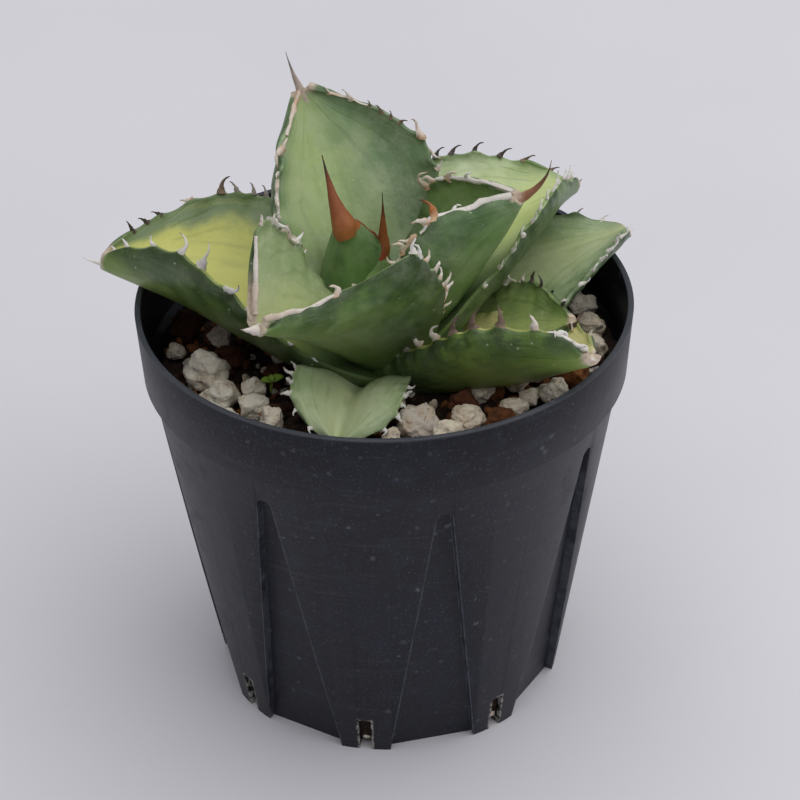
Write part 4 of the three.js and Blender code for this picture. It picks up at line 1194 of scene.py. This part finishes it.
def grain_shapes(draw):
    """Four small broken grains of 80 faces, for the grit that is scattered by the hundred."""
    shapes = []
    for k in range(4):
        clear()
        bpy.ops.mesh.primitive_ico_sphere_add(subdivisions=2, radius=1)
        shape = named(f"grain_{k}")
        shift = Vector([draw.uniform(0, SHIFT) for _ in range(3)])
        for vertex in shape.data.vertices:
            lump = 0.45 * noise.noise(vertex.co * 1.1 + shift)
            vertex.co *= 1 + lump + 0.2 * noise.noise(vertex.co * 3 + shift)
            vertex.co.z *= 0.8
        shapes.append(shape)
    return shapes


def tumbled(draw):
    """A random turn in space."""
    return Euler([draw.uniform(0, 2 * math.pi) for _ in range(3)]).to_matrix().to_4x4()


def heaped(grains, name, material, slot):
    """The grains as one piece."""
    heap = joined(grains, name)
    coat(heap, material)
    smooth(heap, 35)
    hand_over(heap, slot)


def scatter(name, shapes, material, slot, count, sizes, draw, level):
    """Grains lying on the mix; level is how high the highest lie, as a share of their size."""
    grains = []
    while len(grains) < count:
        angle = draw.uniform(0, 2 * math.pi)
        distance = (MIX_RADIUS - sizes[1] / 2 - GAP) * math.sqrt(draw.random())
        x, y = distance * math.cos(angle), distance * math.sin(angle)
        size = draw.uniform(*sizes)
        twin = copied(draw.choice(shapes), f"{name}_{len(grains)}")
        turn = tumbled(draw)
        z = mix_height(x, y) + size * draw.uniform(-0.1, level)
        spot = Matrix.Translation(Vector((x, y, z)) * MM)
        stretch = Matrix.Diagonal((1, draw.uniform(0.65, 1), draw.uniform(0.6, 0.95), 1))
        twin.data.transform(spot @ turn @ Matrix.Scale(size / 2 * MM, 4) @ stretch)
        tinted(twin, draw.random())
        grains.append(twin)
    heaped(grains, name, material, slot)


def fill_slits(shapes, material, draw):
    """Pumice of the drainage layer, showing in the drain slits."""
    width, _, high = POT["slit"]
    grains = []
    for k in range(POT["panels"]):
        turn = math.radians(POT["panel_turn"] - 90) + (k + 0.5) * 2 * math.pi / POT["panels"]
        for level in (0.3, 0.62):
            size = width * draw.uniform(1.1, 1.5)
            distance = POT["foot_radius"] - POT["wall"] - size * draw.uniform(0.35, 0.6)
            spot = Vector((distance * math.cos(turn), distance * math.sin(turn), high * level)) * MM
            twin = copied(draw.choice(shapes), f"slit_grain_{len(grains)}")
            twin.data.transform(Matrix.Translation(spot) @ tumbled(draw) @ Matrix.Scale(size / 2 * MM, 4))
            tinted(twin, draw.uniform(0, 0.4))
            grains.append(twin)
    heaped(grains, "slit_pumice", material, "pumice")


def make_bed(material):
    """The mix under the stones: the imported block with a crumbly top."""
    bed = copied(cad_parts["potting_mix"], "mix_bed")
    choose(bed)
    bpy.ops.object.mode_set(mode="EDIT")
    bpy.ops.mesh.select_all(action="SELECT")
    bpy.ops.mesh.remove_doubles(threshold=0.01 * MM)
    bpy.ops.object.mode_set(mode="OBJECT")
    finish_with(bed, "REMESH", mode="VOXEL", voxel_size=1.1 * MM, use_smooth_shade=True)
    inner = (MIX_RADIUS - 2) * MM
    for vertex in bed.data.vertices:
        if vertex.co.z > (MIX_LEVEL - 6) * MM and vertex.co.xy.length < inner:
            rough = noise.noise(vertex.co * 330) * 0.9 + noise.noise(vertex.co * 800) * 0.4
            vertex.co.z += rough * MM
    coat(bed, material)
    # The copy is a new piece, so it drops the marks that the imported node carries.
    bed.parent = None
    for key in list(bed.keys()):
        del bed[key]
    hand_over(bed, "potting_mix", "potting_mix")


STALK_SHARE = 0.74  # the stalk's height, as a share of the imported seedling's
# Turn, lift in degrees, size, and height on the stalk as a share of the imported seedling's.
SEEDLING_LEAVES = [(20, 12, 1.25, 0.66), (200, 16, 1.15, 0.66), (105, 34, 0.6, 0.74), (290, 30, 0.5, 0.74)]


def make_seedling(material):
    """A weed seedling: a thin stalk with two pairs of soft leaves."""
    low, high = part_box("seedling")
    centre = (low + high) / 2
    foot = Vector((centre.x, centre.y, low.z))
    tall = high.z - low.z
    depth = tall * STALK_SHARE
    clear()
    bpy.ops.mesh.primitive_cylinder_add(
        vertices=10, radius=0.32 * MM, depth=depth, end_fill_type="NGON",
        location=foot + Vector((0, 0, depth / 2))
    )
    stalk = settle(named("seedling_stalk"))
    for vertex in stalk.data.vertices:
        vertex.co.x += 0.5 * MM * math.sin((vertex.co.z - low.z) / tall * 2)
    parts = [stalk]
    for k, (turn, lift, size, level) in enumerate(SEEDLING_LEAVES):
        clear()
        bpy.ops.mesh.primitive_grid_add(x_subdivisions=12, y_subdivisions=8, size=2, calc_uvs=True)
        blade = named(f"seedling_leaf_{k}")
        for vertex in blade.data.vertices:
            u, v = (vertex.co.x + 1) / 2, vertex.co.y
            wide = 1.0 * math.sin(math.pi * u ** 0.8) ** 0.7 * size + 0.06
            bow = 0.35 * v * v + 0.25 * math.sin(math.pi * u)
            vertex.co = Vector((2.2 * u * size, v * wide, bow * size)) * MM
        turned = Matrix.Rotation(math.radians(turn), 4, "Z") @ Matrix.Rotation(math.radians(-lift), 4, "Y")
        top = foot + Vector((0.45 * MM, 0, tall * level))
        blade.data.transform(Matrix.Translation(top) @ turned)
        finish_with(blade, "SOLIDIFY", thickness=0.25 * MM, offset=0)
        finish_with(blade, "SUBSURF", levels=1, render_levels=1)
        parts.append(blade)
    sprout = joined(parts, "weed_seedling")
    coat(sprout, material)
    choose(sprout)
    bpy.ops.object.shade_smooth()
    hand_over(sprout, "seedling", "seedling")


# ------------------------------------------------------------------ the model

# Upper and under face of each leaf: light, deep and warm green and the margin's, then what differs.
SKINS = {
    "leaf_back": (
        ("#b2c692", "#8fac7e", "#bed08e", "#607a54"),
        dict(bloom=0.7, warm_at=0.62, strip=(0.36, 0.2, "#6f8a62")),
        ("#7a9663", "#5c7a4a", "#8aa56c", "#4c6340"), dict(bloom=0.4)),
    "leaf_left": (
        ("#c6ca6c", "#9fae5c", "#dbd97a", "#617846"),
        dict(bloom=0.1, warm_at=0.45, warm_width=0.45, strip=(0.24, 0.13, "#7b9070"), root=1.0),
        ("#758e44", "#4e6832", "#88a050", "#2f4220"), dict(bloom=0.2, edge_from=0.45)),
    "leaf_front_left": (
        ("#b6c492", "#9fb37e", "#c2cb92", "#6a8150"), dict(bloom=0.4),
        ("#6c8a48", "#456332", "#7e9752", "#2e4220"), dict(bloom=0.3, edge_from=0.55)),
    "leaf_back_right": (
        ("#d0deb4", "#a4ba7c", "#c6d284", "#587438"), dict(bloom=0.45, warm_width=0.4, root=0.85),
        ("#6f8a50", "#4c6638", "#7f985c", "#374a2a"), dict(bloom=0.3)),
    "leaf_right_up": (
        ("#86a464", "#67884e", "#90a868", "#48602f"), dict(bloom=0.3),
        ("#6c8e54", "#4d6e3d", "#7c9c5e", "#3a5330"), dict(bloom=0.4)),
    "leaf_right": (
        ("#a9bb8e", "#7d976a", "#b2bd8a", "#4a6338"), dict(bloom=0.45, root=0.5),
        ("#66804a", "#465e34", "#728a52", "#33442a"), dict(bloom=0.3)),
    "leaf_low_right": (
        ("#9bb06a", "#6c884a", "#aebc70", "#465c32"), dict(bloom=0.3),
        ("#66804a", "#465e34", "#728a52", "#33442a"), dict(bloom=0.3)),
    "leaf_right_front": (
        ("#dcd694", "#b8bc6c", "#e4dc9e", "#7d8a44"), dict(bloom=0.25, warm_width=0.45),
        ("#87a34c", "#62803a", "#93ab58", "#36492a"), dict(bloom=0.2, edge_from=0.25, edge_share=0.9)),
    "leaf_front": (
        ("#c4d2a4", "#a6ba88", "#ccd6a4", "#7a9060"), dict(bloom=0.5, lines=0.7),
        ("#7a9360", "#58734a", "#8aa26a", "#435a36"), dict(bloom=0.45)),
    "leaf_bud": (
        ("#8fa66c", "#708a54", "#9db070", "#566c40"), dict(bloom=0.3, cap=(0.9, "#96532a")),
        ("#608349", "#476838", "#6c8e50", "#364f2c"), dict(bloom=0.3, lines=0.9, cap=(0.9, "#a8622f"))),
    "leaf_inner": (
        ("#8fa66c", "#708a54", "#9db070", "#566c40"), dict(bloom=0.3, cap=(0.8, "#7c3a20")),
        ("#7e9c5e", "#5f7f48", "#8fab6a", "#466036"), dict(bloom=0.4, cap=(0.8, "#8a4426"))),
    "leaf_back_low": (
        ("#9db070", "#7f965a", "#a9b66e", "#566c40"), dict(bloom=0.45),
        ("#6f8a50", "#4c6638", "#7f985c", "#374a2a"), dict(bloom=0.3)),
}

horns = {kind: horn(*values) for kind, values in HORNS.items()}
pumice_tones = ("#f9f1e0", "#ecdfc8", "#d8ccba", "#adaaa8")
pumice = mineral("raw_pumice", pumice_tones, "#c09a6a", 0.42, "#6b5c4b", 0.8)
akadama_tones = ("#3b221a", "#57321f", "#754728", "#a06a3c")
akadama = mineral("baked_akadama_clay", akadama_tones, "#2b1812", 0.45, "#20120d", 0.7)
plastic = polypropylene()
soil = humus()

make_pot(plastic)
make_bed(soil)
coat(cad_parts["stem_and_roots"], dry_fibre())

rod = straight_horn()
for name, (upper, upper_extras, under, under_extras) in SKINS.items():
    skins = [
        leaf_skin(name + "_upper_skin", *upper, **upper_extras),
        leaf_skin(name + "_under_skin", *under, gloss=0.4, **under_extras),
    ]
    make_blade(name, skins)
    if TEETH[name]:
        make_teeth(name, rod, horns)
    make_spine(name, rod, horns)
for index, (name, side, start, end, width, kind) in enumerate(STRIPS):
    make_strip(name, side, start, end, width, kind, rod, horns, index)
bpy.data.objects.remove(rod)

draw = random.Random(11)
for node in sorted(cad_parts):
    if node.startswith("pumice_"):
        make_stone(node, pumice, draw)
    elif node.startswith("akadama_"):
        make_stone(node, akadama, draw)
shapes = grain_shapes(draw)
scatter("pumice_grit", shapes, pumice, "pumice", 240, (1.4, 3.6), draw, 0.45)
scatter("akadama_grit", shapes, akadama, "akadama", 420, (1.3, 4.2), draw, 0.35)
scatter("humus_crumbs", shapes, soil, "potting_mix", 420, (0.8, 2.6), draw, 0.3)
fill_slits(shapes, pumice, draw)
for shape in shapes:
    bpy.data.objects.remove(shape)
sprout_greens = ("#a9cc4c", "#8eb53e", "#b4d45a", "#7aa036")
make_seedling(leaf_skin("seedling_skin", *sprout_greens, bloom=0.1, gloss=0.4, lines=0))


# ------------------------------------------------------------------ floor, light and camera

clear()
bpy.ops.mesh.primitive_plane_add(size=8, location=(0, 0, 0))
floor = named("studio_floor")
coat(floor, matte_paper())

LAMP_PLACE = Vector((0.45, -0.05, 1.6))
LAMP_AIM = Vector((0, 0, 0.05))
clear()
bpy.ops.object.light_add(type="AREA", location=LAMP_PLACE)
lamp = named("overhead_light")
lamp.data.shape = "SQUARE"
lamp.data.size = 3.0
lamp.data.energy = 32
lamp.data.color = linear("#fffefd")[:3]
lamp.rotation_euler = (LAMP_AIM - LAMP_PLACE).to_track_quat("-Z", "Y").to_euler()

world = bpy.data.worlds.new("studio_air")
bpy.context.scene.world = world
world.use_nodes = True
background = world.node_tree.nodes["Background"]
background.inputs["Color"].default_value = linear("#eaebf4")
background.inputs["Strength"].default_value = 0.32

CAMERA_PLACE = Vector((0, -0.5757, 0.458))
PITCH, YAW, ROLL = (math.radians(a) for a in (34.24, 0.297, 0.951))
clear()
bpy.ops.object.camera_add(location=CAMERA_PLACE)
camera = named("camera")
camera.data.sensor_width = 36
camera.data.lens = 145.75
ahead = Vector((math.sin(YAW) * math.cos(PITCH), math.cos(YAW) * math.cos(PITCH), -math.sin(PITCH)))
right = Vector((math.cos(YAW), -math.sin(YAW), 0))
above = Vector((math.sin(YAW) * math.sin(PITCH), math.cos(YAW) * math.sin(PITCH), math.cos(PITCH)))
level = right * math.cos(ROLL) - above * math.sin(ROLL)
upright = right * math.sin(ROLL) + above * math.cos(ROLL)
turned = Matrix((level, upright, -ahead)).transposed().to_4x4()
camera.matrix_world = Matrix.Translation(CAMERA_PLACE) @ turned
camera.data.clip_start = 0.01
bpy.context.scene.camera = camera
bpy.context.scene.view_settings.view_transform = "Standard"
